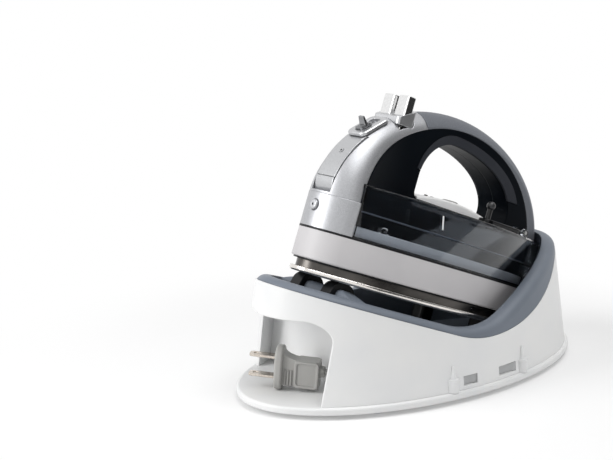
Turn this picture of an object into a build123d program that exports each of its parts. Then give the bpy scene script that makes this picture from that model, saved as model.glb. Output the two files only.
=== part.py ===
import os
from math import asin, cos, degrees, hypot, radians, sin, sqrt, tan
from build123d import *

os.makedirs("parts", exist_ok=True)

# Cordless clothes iron standing on its charging base, in millimetres.
# Base frame: Z up, nose towards -X, origin under the middle of the base.
# The iron is drawn lying flat (soleplate at Z=0) and then leant back onto the base.

# Clearances
gap = 0.3
slip = 0.4

# Iron body, seen from above a double-pointed oval
body_len = 202.0
body_wid = 89.4
body_tip = 24.0
skirt_low = 9.0
skirt_top = 27.7
ledge_z = 62.0
shell_t = 2.4

# Soleplate and heater
sole_over_x = 1.0
sole_over_y = 4.3
sole_tip = 16.0
sole_t = 3.2
vent_r = 1.5
casting_low_t = 4.8
casting_t = 10.8
tube_r = 3.2
element_y = 22.0
element_nose = -50.0
element_tail = 62.0
chamber_len = 96.0
chamber_wid = 32.0
chamber_d = 5.0
cover_t = 2.0

# Handle arch, seen from the side
arch_z = 50.0
arch_h = 75.0
band_nose = 17.0
band_top = 9.0
handle_half = 14.0
flare_x = -48.0
flare_r = 85.0
cover_split = 65.4
cover_round = 9.5
rear_pillar = 28.0
front_pillar = 10.0
hole_floor = 64.5
hole_top = 105.3
hole_crown_x = -10.0
grip_border = 6.4
grip_front = 3.5
grip_back = 10.0
grip_low = 83.0
inlay_t = 1.5
inlay_sink = 1.2

# Controls
key_t = 56.0
key_x = 6.5
key_y = 10.0
key_mid_y = 6.8
key_up = 12.6
key_sink = 5.0
stem_r = 2.0
pump_r = 4.2
pump_bore = 3.0
pump_low = 72.0
pump_top = 94.0
coil_r = 3.1
coil_wire = 0.45
cavity_half = 11.0
cavity_y = 11.4
deck_x = 14.0
deck_rise = 1.2
slider_t = 41.0
bezel_len = 24.0
bezel_wid = 17.0
bezel_t = 2.2
bezel_rise = 0.9
slot_len = 17.0
slot_wid = 8.0
slider_len = 9.0
panel_half = 8.5
panel_low = 61.3
panel_high = 91.0
panel_sink = 1.2
panel_t = 2.0
notch_low = 51.5
notch_sink = 4.2
lens_z = 79.6
lens_r = 1.5
nozzle_z = 42.0
nozzle_r = 3.4
nozzle_out = 1.6
nozzle_seat = 0.6

# Tank, chassis and control panel
tank_nose = 16.7
tank_wall = 2.0
tank_round = 1.2
chassis_in = 8.0
chassis_wid = 44.0
chassis_tip = 12.0
fill_x = 27.0
fill_y = -29.5
fill_r = 5.0
cap_len = 36.0
cap_hinge = 28.0
cap_knob_x = 6.0
barrel_half = 3.0
cap_wid = 11.5
cap_t = 3.0
cap_pin_r = 1.3
seal_h = 3.0
knob_r = 3.0
knob_z = 74.5
deck_half = 12.6
deck_front = 5.0
deck_back = 16.0
deck_edge = 66.4
deck_crown = 70.2
temp_x = 8.0
temp_r = 5.5
temp_rise = 1.4
led_r = 1.2
led_gap = 6.0

# Charging base
side_room = 24.0
end_room = 33.0
foot_h = 3.0
foot_r = 8.0
foot_seat = 0.8
foot_front = -74.0
foot_back = 68.0
foot_y = 46.0
pocket_r = 4.0
pocket_d = 1.4
pocket_x = 98.0
pocket_y = 56.0
plate_t = 4.6
ledge = 2.4
wall_t = 2.8
lean_x = 0.16
lean_y = 0.135
rim_w = 6.0
rim_drop = 12.6
rim_turn_x = -22.0
rim_r_front = 85.0
rim_r_back = 140.0
rim_rise = 36.5
rim_r_end = 58.0
band_up = 4.5
band_turn_x = -24.0
band_r_front = 64.0
band_r_back = 60.0
band_rise = 22.5
band_run = 77.0
band_r_end = 40.0
band_round = 6.0
tray_t = 2.5
tray_gap = 0.7
tray_low = 8.0
well_depth = 18.0
dock_tilt = 20.2
dock_x = -4.4
tail_room = 4.3
hump_front = -81.0
hump_back = -72.0
hump_lean = 4.5
hump_half = 38.0
hump_flat = 22.0
hump_round = 3.5
rib_t = 4.0
rib_y = 15.0
rib_wid = 9.0
rib_foot = 9.5
rest_x = 44.0
rest_y = 27.0
rest_size = 12.0
block_half = 13.0
block_low = 12.0
block_high = 44.0
block_gap = 1.5
contact_y = 6.0
contact_wid = 4.0

# Plug bay and cord reel
bay_half = 38.0
bay_top = 58.0
bay_corner = 14.0
bay_round = 0.8
bay_depth = 55.0
bay_far = 54.0
bay_far_depth = 41.0
reel_gap = 0.6
reel_r = 40.5
reel_wall = 2.5
drum_gap = 2.5
drum_hub = 15.0
drum_low = 8.6
drum_room = 2.85
drum_flange = 1.5
cord_rim = 3.5
axle_r = 5.0
plug_x = 24.3
plug_y = 5.4
plug_yaw = -48.0
plug_pitch = 4.0
plug_len = 27.8
flange_len = 5.0
flange_tall = 28.2
flange_wid = 15.4
flange_round = 1.5
neck_wid = 9.0
neck_end = 16.4
neck_ribs = 3
grip_from = 12.5
grip_up = 6.7
grip_down = 10.3
grip_wid = 12.4
grip_inset = 0.6
blade_len = 16.7
blade_pitch = 12.7
blade_tall = 1.5
blade_wid = 6.4
cord_r = 2.0
lead_run = 7.6
lead_bend = 16.0
boot_len = 3.0
gland_r = 3.2
collar_t = 1.2

# Latch bosses and recesses that hold a storage case
boss_x = (-29.0, 34.0)
boss_r = 4.2
boss_out = 2.6
boss_h = 8.4
latch_spots = ((-15.2, 11.5), (18.5, 17.0))
latch_z = 13.0
latch_tall = 6.0
latch_d = 1.6

tank_front = tank_nose - body_len / 2
chassis_len = body_len - 2 * chassis_in
sole_len = body_len + 2 * sole_over_x
sole_wid = body_wid + 2 * sole_over_y
arch_a = body_len / 2
in_a = arch_a - band_nose
in_b = arch_h - band_top
base_a = sole_len / 2 + end_room
base_b = sole_wid / 2 + side_room
deck_z = foot_h + plate_t
wall_high = 100.0
lean = radians(dock_tilt)
dock_z = tray_low + tail_room + sole_len / 2 * sin(lean)
docked = Plane(origin=(dock_x, 0, dock_z), x_dir=(cos(lean), 0, -sin(lean)), z_dir=(sin(lean), 0, cos(lean)))


def oval(length, width, tip):
    # Four-arc oval: two side arcs run into two tip arcs
    hx, hy = length / 2 - tip, width / 2
    side = (hx**2 + hy**2 - tip**2) / (2 * (hy - tip))
    reach = sqrt(hx**2 + (side - hy) ** 2)
    tx, ty = hx + tip * hx / reach, tip * (side - hy) / reach
    with BuildSketch() as shape:
        with BuildLine():
            ThreePointArc((-tx, ty), (0, hy), (tx, ty))
            ThreePointArc((tx, ty), (length / 2, 0), (tx, -ty))
            ThreePointArc((tx, -ty), (0, -hy), (-tx, -ty))
            ThreePointArc((-tx, -ty), (-length / 2, 0), (-tx, ty))
        make_face()
    return shape.sketch


def oval_half(x, length, width, tip):
    # Half width of the same oval on its side arcs
    hx, hy = length / 2 - tip, width / 2
    side = (hx**2 + hy**2 - tip**2) / (2 * (hy - tip))
    return sqrt(side**2 - x**2) - (side - hy)


def flare(x):
    # Half width of the handle, widening towards the nose
    if x > flare_x:
        return handle_half
    return handle_half + flare_r - sqrt(flare_r**2 - (x - flare_x) ** 2)


def crest(turn, sink=0.0):
    # Plane across the arch at an angle from the nose: local X is +Y, local Y points outwards
    t = radians(turn)
    nx, nz = -cos(t) / arch_a, sin(t) / arch_h
    size = sqrt(nx**2 + nz**2)
    nx, nz = nx / size, nz / size
    at = (-arch_a * cos(t) - sink * nx, 0, arch_z + arch_h * sin(t) - sink * nz)
    return Plane(origin=at, x_dir=(0, 1, 0), z_dir=(nz, 0, -nx))


def on_crest(turn, sink=0.0):
    # Plane lying on the arch there: local X is +Y, local Y runs down towards the nose
    across = crest(turn, sink)
    return Plane(origin=across.origin, x_dir=(0, 1, 0), z_dir=across.y_dir)


def band_section(plane, half, round_h, deep):
    # Rounded outside, straight sides, flat inside
    with BuildSketch(plane) as shape:
        with BuildLine():
            Line((-half, -deep), (-half, -round_h))
            ThreePointArc((-half, -round_h), (0, 0), (half, -round_h))
            Line((half, -round_h), (half, -deep))
            Line((half, -deep), (-half, -deep))
        make_face()
    return shape.sketch.face()


def front_sections(inset, nose_wall):
    # Sections of the front shell from the seam on the nose up to the handle joint
    shapes = []
    for turn in [0, 13, 26, 39, 52, cover_split]:
        half = flare(-in_a * cos(radians(turn))) - inset
        share = cos(radians(turn)) ** 2
        round_h = (band_nose - 1.0) * share + (band_top - 0.5) * (1 - share)
        round_h = min(round_h, half * 0.95)
        shapes.append(band_section(crest(turn, nose_wall), half, round_h, band_nose + 8))
    return shapes


def hole_face(front_grow, back_grow, top_grow):
    # Hand hole: steep curve at the front, long slope to the back, flat floor
    front, back, top = hole_front - front_grow, hole_back + back_grow, hole_top + top_grow
    steep, slope = hole_floor + 15, hole_floor + 8
    with BuildSketch() as shape:
        with BuildLine():
            EllipticalCenterArc((hole_crown_x, steep), hole_crown_x - front, top - steep, 90, arc_size=90)
            EllipticalCenterArc((hole_crown_x, slope), back - hole_crown_x, top - slope, 0, arc_size=90)
            Polyline((back, slope), (back, hole_floor), (front, hole_floor), (front, steep))
        make_face()
        fillet(shape.vertices().group_by(Axis.Y)[0], 4.5)
    return shape.sketch


def grip_face(shrink):
    # Soft grip band round the top of the hand hole
    with BuildSketch() as shape:
        add(hole_face(grip_front - shrink, grip_back - shrink, grip_border - shrink))
        add(hole_face(shrink, shrink, shrink), mode=Mode.SUBTRACT)
        with Locations((0, grip_low + shrink - 100)):
            Rectangle(400, 200, mode=Mode.SUBTRACT)
    return shape.sketch


def handle_plan():
    # Left half of the handle seen from above, flared towards the nose
    mid = (flare_x - in_a) / 2
    with BuildSketch() as shape:
        with BuildLine():
            Polyline((flare_x, handle_half), (in_a, handle_half), (in_a, 0), (-in_a, 0),
                     (-in_a, flare(-in_a)))
            ThreePointArc((-in_a, flare(-in_a)), (mid, flare(mid)), (flare_x, handle_half))
        make_face()
    return shape.sketch


def rear_sections(inset, sink):
    # Sections of the rear cover from the handle joint over the top to the tail
    shapes = []
    for turn in [cover_split, 80, 95, 110, 125, 140, 155, 167, 176]:
        round_h = (band_top - 0.5) + (cover_round - band_top) * cos(radians(turn)) ** 2
        round_h = min(round_h, (handle_half - inset) * 0.95)
        shapes.append(band_section(crest(turn, sink), handle_half - inset, round_h, band_nose + 8))
    return shapes


def ring_between(outer_sink, inner_sink, low, high):
    # Strip of the arch, between two depths and two heights, at the nose end
    with BuildSketch(Plane.XZ) as shape:
        with Locations((0, arch_z)):
            Ellipse(arch_a - outer_sink, arch_h - outer_sink)
            Ellipse(arch_a - inner_sink, arch_h - inner_sink, mode=Mode.SUBTRACT)
        with Locations((-arch_a, (low + high) / 2)):
            Rectangle(2 * arch_a, high - low, mode=Mode.INTERSECT)
    return shape.sketch


key_mid_x = -arch_a * cos(radians(key_t))
key_crest = arch_z + arch_h * sin(radians(key_t))
hole_front = key_mid_x + cavity_half + front_pillar
hole_back = in_a - rear_pillar
key_top = key_crest + key_up
key_low = key_crest - key_sink
deck_y = key_mid_y + key_y / 2 + 0.7
lens_turn = degrees(asin((lens_z - arch_z) / arch_h))
hinge_x = fill_x + cap_hinge
hinge_z = ledge_z + 2.5
knob_x = fill_x - cap_knob_x
panel_x0 = hole_front + deck_front
panel_x1 = hole_back - deck_back
panel_mid = (panel_x0 + panel_x1) / 2
led_spots = [(panel_mid + temp_x - temp_r - led_gap * k, 0) for k in (1, 2, 3)]


# Soleplate with two rows of steam vents round the rim
vent_x = [sole_len * k / 16 for k in range(-6, 7)]
vents = [(x, s * (oval_half(x, sole_len, sole_wid, sole_tip) - 12)) for x in vent_x for s in (-1, 1)]
with BuildPart() as soleplate:
    with BuildSketch():
        add(oval(sole_len, sole_wid, sole_tip))
    extrude(amount=sole_t)
    fillet(soleplate.faces().sort_by(Axis.Z)[0].edges(), sole_t * 0.5)
    with BuildSketch():
        with Locations(*vents):
            Circle(vent_r)
    extrude(amount=sole_t, mode=Mode.SUBTRACT)

# Cast heater block: visible flange below, narrower body inside the skirt
casting_low = sole_t + casting_low_t
casting_top = sole_t + casting_t
with BuildPart() as heater_casting:
    with BuildSketch(Plane.XY.offset(sole_t)):
        add(oval(body_len - 5, body_wid + 0.6, sole_tip - 2))
    extrude(amount=casting_low_t)
    with BuildSketch(Plane.XY.offset(casting_low)):
        add(oval(body_len - 14, body_wid - 13, sole_tip - 4))
    extrude(amount=casting_t - casting_low_t)
    with BuildSketch(Plane.XY.offset(casting_top)):
        SlotOverall(chamber_len, chamber_wid)
    extrude(amount=-chamber_d, mode=Mode.SUBTRACT)
    with BuildSketch(Plane.XY.offset(casting_top)):
        with Locations((element_nose, 0)):
            Circle(element_y + tube_r + slip)
        with Locations(((element_nose + element_tail) / 2, 0)):
            Rectangle(element_tail - element_nose, 2 * (element_y + tube_r + slip))
        with Locations((element_nose, 0)):
            Circle(element_y - tube_r - slip, mode=Mode.SUBTRACT)
        with Locations(((element_nose + element_tail) / 2 + 1, 0)):
            Rectangle(element_tail - element_nose + 2, 2 * (element_y - tube_r - slip), mode=Mode.SUBTRACT)
    extrude(amount=-tube_r, mode=Mode.SUBTRACT)

# Sheathed heating element bent to a U in its groove
with BuildPart() as heating_element:
    with BuildLine(Plane.XY.offset(casting_top)) as run:
        Line((element_tail, element_y), (element_nose, element_y))
        ThreePointArc((element_nose, element_y), (element_nose - element_y, 0), (element_nose, -element_y))
        Line((element_nose, -element_y), (element_tail, -element_y))
    with BuildSketch(Plane(origin=(element_tail, element_y, casting_top), z_dir=(-1, 0, 0))):
        Circle(tube_r)
    sweep()

with BuildPart() as steam_cover:
    with BuildSketch(Plane.XY.offset(casting_top)):
        SlotOverall(chamber_len + 3, 2 * (element_y - tube_r - slip) - 1)
        with Locations((-30, 0)):
            Circle(3.0, mode=Mode.SUBTRACT)
    extrude(amount=cover_t)

with BuildPart() as skirt_gasket:
    with BuildSketch(Plane.XY.offset(casting_low)):
        add(oval(body_len - 3, body_wid - 2, body_tip - 2))
        add(oval(body_len - 12, body_wid - 12, body_tip - 6), mode=Mode.SUBTRACT)
    extrude(amount=skirt_low - casting_low)

# Skirt: open-bottomed band with a deck that carries the body
with BuildPart() as skirt:
    with BuildSketch(Plane.XY.offset(skirt_low)):
        add(oval(body_len, body_wid, body_tip))
    extrude(amount=skirt_top - skirt_low)
    fillet(skirt.faces().sort_by(Axis.Z)[0].edges(), 1.0)
    with BuildSketch(Plane.XY.offset(skirt_low)):
        add(oval(body_len - 2 * shell_t, body_wid - 2 * shell_t, body_tip - shell_t))
    extrude(amount=skirt_top - skirt_low - shell_t, mode=Mode.SUBTRACT)
    with BuildSketch(Plane.XY.offset(skirt_low)):
        SlotOverall(chamber_len, chassis_wid - 14)
    extrude(amount=skirt_top, mode=Mode.SUBTRACT)
    with BuildSketch(Plane.XY.offset(skirt_low + 5)):
        with Locations((body_len / 2, contact_y), (body_len / 2, -contact_y)):
            Rectangle(8, contact_wid + 2 * slip)
    extrude(amount=9, mode=Mode.SUBTRACT)

# Tail terminal: holder under the skirt's deck and two contact bars through its end
term_face = body_len / 2 + 0.1
block_end = body_len / 2 - 6.0
contact_mid = (term_face + block_end) / 2
with BuildPart() as tail_terminal:
    with BuildSketch(Plane.XY.offset(casting_top + 1)):
        with Locations((block_end - 4.5, 0)):
            Rectangle(9, 20)
    extrude(amount=skirt_top - shell_t - casting_top - 1)

with BuildPart() as tail_contacts:
    with BuildSketch(Plane.XY.offset(casting_top + 1)):
        with Locations((contact_mid, contact_y), (contact_mid, -contact_y)):
            Rectangle(term_face - block_end, contact_wid)
    extrude(amount=7)

# Chassis: long hollow core of the body, closed on top
with BuildPart() as chassis:
    with BuildSketch(Plane.XY.offset(skirt_top)):
        add(oval(chassis_len, chassis_wid, chassis_tip))
    extrude(amount=ledge_z - skirt_top)
    with BuildSketch(Plane.XY.offset(skirt_top)):
        add(oval(chassis_len - 2 * shell_t, chassis_wid - 2 * shell_t, chassis_tip - shell_t))
    extrude(amount=ledge_z - skirt_top - shell_t, mode=Mode.SUBTRACT)

with BuildPart() as valve_body:
    with BuildSketch(Plane.XY.offset(casting_top + cover_t)):
        with Locations((-30, 0)):
            Circle(6)
    extrude(amount=26)
    with BuildSketch(Plane.XY.offset(casting_top + cover_t)):
        with Locations((-30, 0)):
            Circle(2.5)
    extrude(amount=26, mode=Mode.SUBTRACT)

with BuildPart() as thermostat:
    with BuildSketch(Plane.XY.offset(casting_top + cover_t)):
        with Locations((12, 0)):
            Circle(8)
    extrude(amount=9)
    with BuildSketch(Plane.XY.offset(casting_top + cover_t + 9)):
        with Locations((8, 0), (16, 0)):
            Rectangle(1, 6)
    extrude(amount=6)

with BuildPart() as thermal_fuse:
    with BuildSketch(Plane((33, -8, casting_top + cover_t + 3), x_dir=(1, 0, 0), z_dir=(0, 1, 0))):
        Circle(3)
    extrude(amount=16)

with BuildPart() as control_board:
    with BuildSketch(Plane.XY.offset(ledge_z - shell_t)):
        with Locations((4, 0)):
            Rectangle(64, chassis_wid - 2 * shell_t - 6)
    extrude(amount=-1.6)
    with BuildSketch(Plane.XY.offset(ledge_z - shell_t - 1.6)):
        with Locations((-18, 4), (-2, -6)):
            Rectangle(10, 8)
        with Locations((20, 3)):
            Circle(5)
    extrude(amount=-7)

# Nose shell: rounded front of the body below the seam, open behind
with BuildPart() as nose_shell:
    with BuildSketch(Plane.XY.offset(skirt_top)):
        add(oval(body_len, body_wid, body_tip))
        with Locations((tank_front - gap + body_len / 2, 0)):
            Rectangle(body_len, body_wid + 2, mode=Mode.SUBTRACT)
        add(oval(body_len - 2 * shell_t, body_wid - 2 * shell_t, body_tip - shell_t), mode=Mode.SUBTRACT)
    extrude(amount=arch_z - skirt_top)
    with BuildSketch(Plane.YZ.offset(-body_len / 2 - 5)):
        with Locations((0, nozzle_z)):
            Circle(nozzle_r + gap)
    extrude(amount=14, mode=Mode.SUBTRACT)

with BuildPart() as spray_nozzle:
    with BuildSketch(Plane.YZ.offset(-body_len / 2 - nozzle_out)):
        with Locations((0, nozzle_z)):
            Circle(nozzle_r)
    extrude(amount=7)
    with BuildSketch(Plane.YZ.offset(-body_len / 2 + shell_t + nozzle_seat)):
        with Locations((0, nozzle_z)):
            Circle(nozzle_r + 1.6)
    extrude(amount=1.6)
    fillet(spray_nozzle.faces().sort_by(Axis.X)[0].edges(), 1.2)
    with BuildSketch(Plane.YZ.offset(-body_len / 2 - nozzle_out)):
        with Locations((0, nozzle_z)):
            Circle(0.8)
    extrude(amount=4, mode=Mode.SUBTRACT)

# Front shell: silver nose and front of the handle, hollow behind a thick face
with BuildPart() as front_shell:
    loft(front_sections(0, 0))
    loft(front_sections(shell_t, 6), mode=Mode.SUBTRACT)
    with BuildSketch(Plane.XZ):
        with Locations((0, arch_z)):
            Ellipse(in_a, in_b)
        with Locations((0, arch_z - 50)):
            Rectangle(2 * in_a, 100)
    extrude(amount=60, both=True, mode=Mode.SUBTRACT)
    with BuildSketch(Plane.XZ):
        add(ring_between(-4, panel_sink + panel_t, notch_low, panel_high + 0.3))
    extrude(amount=panel_half + gap, both=True, mode=Mode.SUBTRACT)
    with BuildSketch(Plane.XZ):
        add(ring_between(-4, notch_sink, notch_low, panel_low - 0.3))
    extrude(amount=panel_half + gap, both=True, mode=Mode.SUBTRACT)
    with BuildSketch(on_crest(slider_t, bezel_t - bezel_rise)):
        RectangleRounded(bezel_wid + 2 * gap, bezel_len + 2 * gap, 4)
    extrude(amount=12, mode=Mode.SUBTRACT)
    with BuildSketch(Plane.XY.offset(key_low - 2)):
        with Locations((key_mid_x, 0)):
            RectangleRounded(deck_x + 2 * gap, 2 * (deck_y + gap), 2.5)
    extrude(amount=40, mode=Mode.SUBTRACT)
    with BuildSketch(Plane.XY.offset(pump_top)):
        with Locations((key_mid_x, 0)):
            Rectangle(key_x + 2 * slip + 2, 2 * (key_mid_y + key_y / 2 + slip))
    extrude(amount=40, mode=Mode.SUBTRACT)
    with BuildSketch(Plane.XZ):
        with Locations((tank_front - gap + body_len, ledge_z - body_len)):
            Rectangle(2 * body_len, 2 * body_len)
    extrude(amount=60, both=True, mode=Mode.SUBTRACT)


with BuildPart() as front_panel:
    with BuildSketch(Plane.XZ):
        add(ring_between(panel_sink, panel_sink + panel_t, panel_low, panel_high))
    extrude(amount=panel_half, both=True)
    with BuildSketch(on_crest(lens_turn, panel_sink + panel_t)):
        Circle(lens_r + 0.1)
    extrude(amount=6, mode=Mode.SUBTRACT)

with BuildPart() as pilot_lens:
    with BuildSketch(on_crest(lens_turn, panel_sink + panel_t - 0.1)):
        Circle(lens_r)
    extrude(amount=panel_t + 0.3)

# Steam selector: bezel let into the arch, slider with a thumb nub in its slot
with BuildPart() as selector_bezel:
    with BuildSketch(on_crest(slider_t, bezel_t - bezel_rise)):
        RectangleRounded(bezel_wid, bezel_len, 4)
        RectangleRounded(slot_wid, slot_len, 2, mode=Mode.SUBTRACT)
    extrude(amount=bezel_t)
    outwards = Axis(on_crest(slider_t).origin, on_crest(slider_t).z_dir)
    chamfer(selector_bezel.faces().sort_by(outwards)[-1].outer_wire().edges(), 0.7)

slider_rest = slot_len / 2 - slip - slider_len / 2
with BuildPart() as steam_slider:
    with BuildSketch(on_crest(slider_t, bezel_t - bezel_rise - 0.2)):
        with Locations((0, slider_rest)):
            RectangleRounded(slot_wid - 2 * slip, slider_len, 1.5)
    extrude(amount=bezel_t + 1.2)
    with BuildSketch(on_crest(slider_t, -bezel_rise - 1.0)):
        with Locations((0, slider_rest - 0.5)):
            RectangleRounded(slot_wid - 2 * slip - 1, 3.2, 1.2)
    extrude(amount=6, taper=8)

# Key deck: pedestal across the arch with two openings for the keys
with BuildPart() as key_deck:
    with BuildSketch(Plane.XY.offset(key_low - 2)):
        with Locations((key_mid_x, 0)):
            RectangleRounded(deck_x, 2 * deck_y, 2.5)
    extrude(amount=30)
    split(bisect_by=on_crest(key_t, -deck_rise), keep=Keep.BOTTOM)
    with BuildSketch(Plane.XY.offset(key_low - 5)):
        with Locations((key_mid_x, key_mid_y), (key_mid_x, -key_mid_y)):
            Rectangle(key_x + 2 * slip, key_y + 2 * slip)
    extrude(amount=40, mode=Mode.SUBTRACT)

with BuildPart() as spray_key:
    with BuildSketch(Plane.XY.offset(key_low)):
        with Locations((key_mid_x, -key_mid_y)):
            RectangleRounded(key_x, key_y, 1)
    extrude(amount=key_top - key_low)
    fillet(spray_key.faces().sort_by(Axis.Z)[-1].edges(), 0.9)
    with BuildSketch(Plane.XY.offset(key_low)):
        with Locations((key_mid_x, -key_mid_y)):
            Circle(stem_r)
    extrude(amount=pump_top - 8 - key_low)

with BuildPart() as shot_key:
    add(spray_key.part)
    mirror(about=Plane.XZ, mode=Mode.REPLACE)

with BuildPart() as spray_pump:
    with BuildSketch(Plane.XY.offset(pump_low)):
        with Locations((key_mid_x, -key_mid_y)):
            Circle(pump_r)
    extrude(amount=pump_top - pump_low)
    with BuildSketch(Plane.XY.offset(pump_top)):
        with Locations((key_mid_x, -key_mid_y)):
            Circle(pump_bore)
    extrude(amount=pump_low + 4 - pump_top, mode=Mode.SUBTRACT)

with BuildPart() as shot_pump:
    add(spray_pump.part)
    mirror(about=Plane.XZ, mode=Mode.REPLACE)

with BuildPart() as spray_spring:
    with BuildLine(Plane((key_mid_x, -key_mid_y, pump_top + coil_wire))) as turns:
        Helix(pitch=(key_low - pump_top - 2 * coil_wire) / 4, height=key_low - pump_top - 2 * coil_wire,
              radius=coil_r)
    with BuildSketch(Plane(origin=turns.line @ 0, z_dir=turns.line % 0)):
        RegularPolygon(coil_wire, 6)
    sweep()

with BuildPart() as shot_spring:
    add(spray_spring.part)
    mirror(about=Plane.XZ, mode=Mode.REPLACE)

# Rear cover: back of the handle from the joint over the top and down to the tail
with BuildPart() as rear_cover:
    loft(rear_sections(0, 0))
    loft(rear_sections(shell_t, shell_t), mode=Mode.SUBTRACT)
    with BuildSketch(Plane.XZ):
        with Locations((0, arch_z)):
            Ellipse(in_a, in_b)
    extrude(amount=60, both=True, mode=Mode.SUBTRACT)
    split(bisect_by=Plane.XY.offset(ledge_z), keep=Keep.TOP)

# Handle halves: black side walls of the arch with the hand hole and a pump cavity in front
with BuildPart() as handle_left:
    with BuildSketch(Plane.XZ):
        with Locations((0, arch_z)):
            Ellipse(in_a - 0.2, in_b - 0.2)
        with Locations((0, ledge_z - 100)):
            Rectangle(3 * in_a, 200, mode=Mode.SUBTRACT)
        add(hole_face(0, 0, 0), mode=Mode.SUBTRACT)
    extrude(amount=-40)
    with BuildSketch():
        add(handle_plan())
    extrude(amount=200, mode=Mode.INTERSECT)
    with BuildSketch(Plane.XY.offset(pump_low)):
        with Locations((key_mid_x, 0)):
            Rectangle(2 * cavity_half, 2 * cavity_y)
    extrude(amount=60, mode=Mode.SUBTRACT)
    with BuildSketch(Plane.XZ.offset(-handle_half)):
        add(grip_face(0))
    extrude(amount=inlay_sink, mode=Mode.SUBTRACT)

with BuildPart() as handle_right:
    add(handle_left.part)
    mirror(about=Plane.XZ, mode=Mode.REPLACE)

with BuildPart() as grip_inlay_left:
    with BuildSketch(Plane.XZ.offset(-handle_half + inlay_sink)):
        add(grip_face(0.15))
    extrude(amount=-inlay_t)

with BuildPart() as grip_inlay_right:
    add(grip_inlay_left.part)
    mirror(about=Plane.XZ, mode=Mode.REPLACE)

# Water tank: hollow horseshoe round the chassis with a filler hole in its shoulder
with BuildPart() as water_tank:
    with BuildSketch(Plane.XY.offset(skirt_top)):
        add(oval(body_len, body_wid, body_tip))
    extrude(amount=ledge_z - skirt_top)
    fillet(water_tank.faces().sort_by(Axis.Z)[-1].edges(), tank_round)
    with BuildSketch(Plane.XY.offset(skirt_top)):
        with Locations((tank_front - body_len, 0)):
            Rectangle(2 * body_len, 2 * body_wid)
        add(oval(chassis_len + 2 * slip, chassis_wid + 2 * slip, chassis_tip + slip))
    extrude(amount=ledge_z - skirt_top, mode=Mode.SUBTRACT)
    tank_in = tank_wall + slip
    with BuildSketch(Plane.XY.offset(skirt_top + tank_wall)):
        add(oval(body_len - 2 * tank_wall, body_wid - 2 * tank_wall, body_tip - tank_wall))
        with Locations((tank_front + tank_wall - body_len, 0)):
            Rectangle(2 * body_len, 2 * body_wid, mode=Mode.SUBTRACT)
        add(oval(chassis_len + 2 * tank_in, chassis_wid + 2 * tank_in, chassis_tip + tank_in),
            mode=Mode.SUBTRACT)
    extrude(amount=ledge_z - skirt_top - 2 * tank_wall, mode=Mode.SUBTRACT)
    with BuildSketch(Plane.XY.offset(ledge_z)):
        with Locations((fill_x, fill_y)):
            Circle(fill_r)
    extrude(amount=-tank_wall, mode=Mode.SUBTRACT)
    with BuildSketch(Plane.XZ.offset(-fill_y)):
        with Locations((hinge_x, ledge_z + 1)):
            Rectangle(5, 2)
        with Locations((hinge_x, hinge_z)):
            Circle(2.5)
            Circle(cap_pin_r, mode=Mode.SUBTRACT)
    extrude(amount=cap_wid / 2, both=True)
    with BuildSketch(Plane.XZ.offset(-fill_y)):
        with Locations((hinge_x, ledge_z + 5)):
            Rectangle(12, 10)
    extrude(amount=barrel_half + slip, both=True, mode=Mode.SUBTRACT)

with BuildPart() as cap_pin:
    with BuildSketch(Plane.XZ.offset(-fill_y)):
        with Locations((hinge_x, hinge_z)):
            Circle(cap_pin_r)
    extrude(amount=cap_wid / 2, both=True)

# Filler cap: leaf hinged behind the filler hole, with a seal below and a knob on its front
with BuildPart() as filler_cap:
    with BuildSketch(Plane.XY.offset(ledge_z + slip)):
        with Locations((hinge_x - 3.2 - cap_len / 2, fill_y)):
            RectangleRounded(cap_len, cap_wid, 5)
        with Locations((hinge_x - 3, fill_y)):
            Rectangle(6, 2 * barrel_half)
    extrude(amount=cap_t)
    fillet(filler_cap.faces().sort_by(Axis.Z)[-1].edges(), 0.8)
    with BuildSketch(Plane.XZ.offset(-fill_y)):
        with Locations((hinge_x, hinge_z)):
            Circle(2.0)
    extrude(amount=barrel_half, both=True)
    with BuildSketch(Plane.XZ.offset(-fill_y)):
        with Locations((hinge_x, hinge_z)):
            Circle(cap_pin_r + gap)
    extrude(amount=cap_wid, both=True, mode=Mode.SUBTRACT)

with BuildPart() as cap_seal:
    with BuildSketch(Plane.XY.offset(ledge_z + slip)):
        with Locations((fill_x, fill_y)):
            Circle(fill_r - 0.6)
    extrude(amount=-seal_h)

with BuildPart() as cap_knob:
    with BuildSketch(Plane.XY.offset(ledge_z + slip + cap_t)):
        with Locations((knob_x, fill_y)):
            Circle(1.8)
    extrude(amount=knob_z - ledge_z - slip - cap_t)
    with Locations((knob_x, fill_y, knob_z)):
        Sphere(knob_r)

# Control panel on the floor of the hand hole
with BuildPart() as control_panel:
    with BuildSketch(Plane.XZ):
        with BuildLine():
            Polyline((panel_x1, deck_edge), (panel_x1, hole_floor), (panel_x0, hole_floor),
                     (panel_x0, deck_edge))
            ThreePointArc((panel_x0, deck_edge), (panel_mid, deck_crown), (panel_x1, deck_edge))
        make_face()
    extrude(amount=deck_half, both=True)
    fillet(control_panel.faces().sort_by(Axis.Z)[-1].edges().filter_by(GeomType.CIRCLE), 1.5)
    with BuildSketch(Plane.XY.offset(hole_floor)):
        with Locations((panel_mid + temp_x, 0)):
            Circle(temp_r + slip)
    extrude(amount=20, mode=Mode.SUBTRACT)
    with BuildSketch(Plane.XY.offset(hole_floor + 2)):
        with Locations(*led_spots):
            Circle(led_r)
    extrude(amount=20, mode=Mode.SUBTRACT)

with BuildPart() as temperature_button:
    with BuildSketch(Plane.XY.offset(hole_floor + 1.6)):
        with Locations((panel_mid + temp_x, 0)):
            Circle(temp_r)
    extrude(amount=deck_crown + temp_rise - hole_floor - 1.6)
    fillet(temperature_button.faces().sort_by(Axis.Z)[-1].edges(), 0.8)

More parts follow.
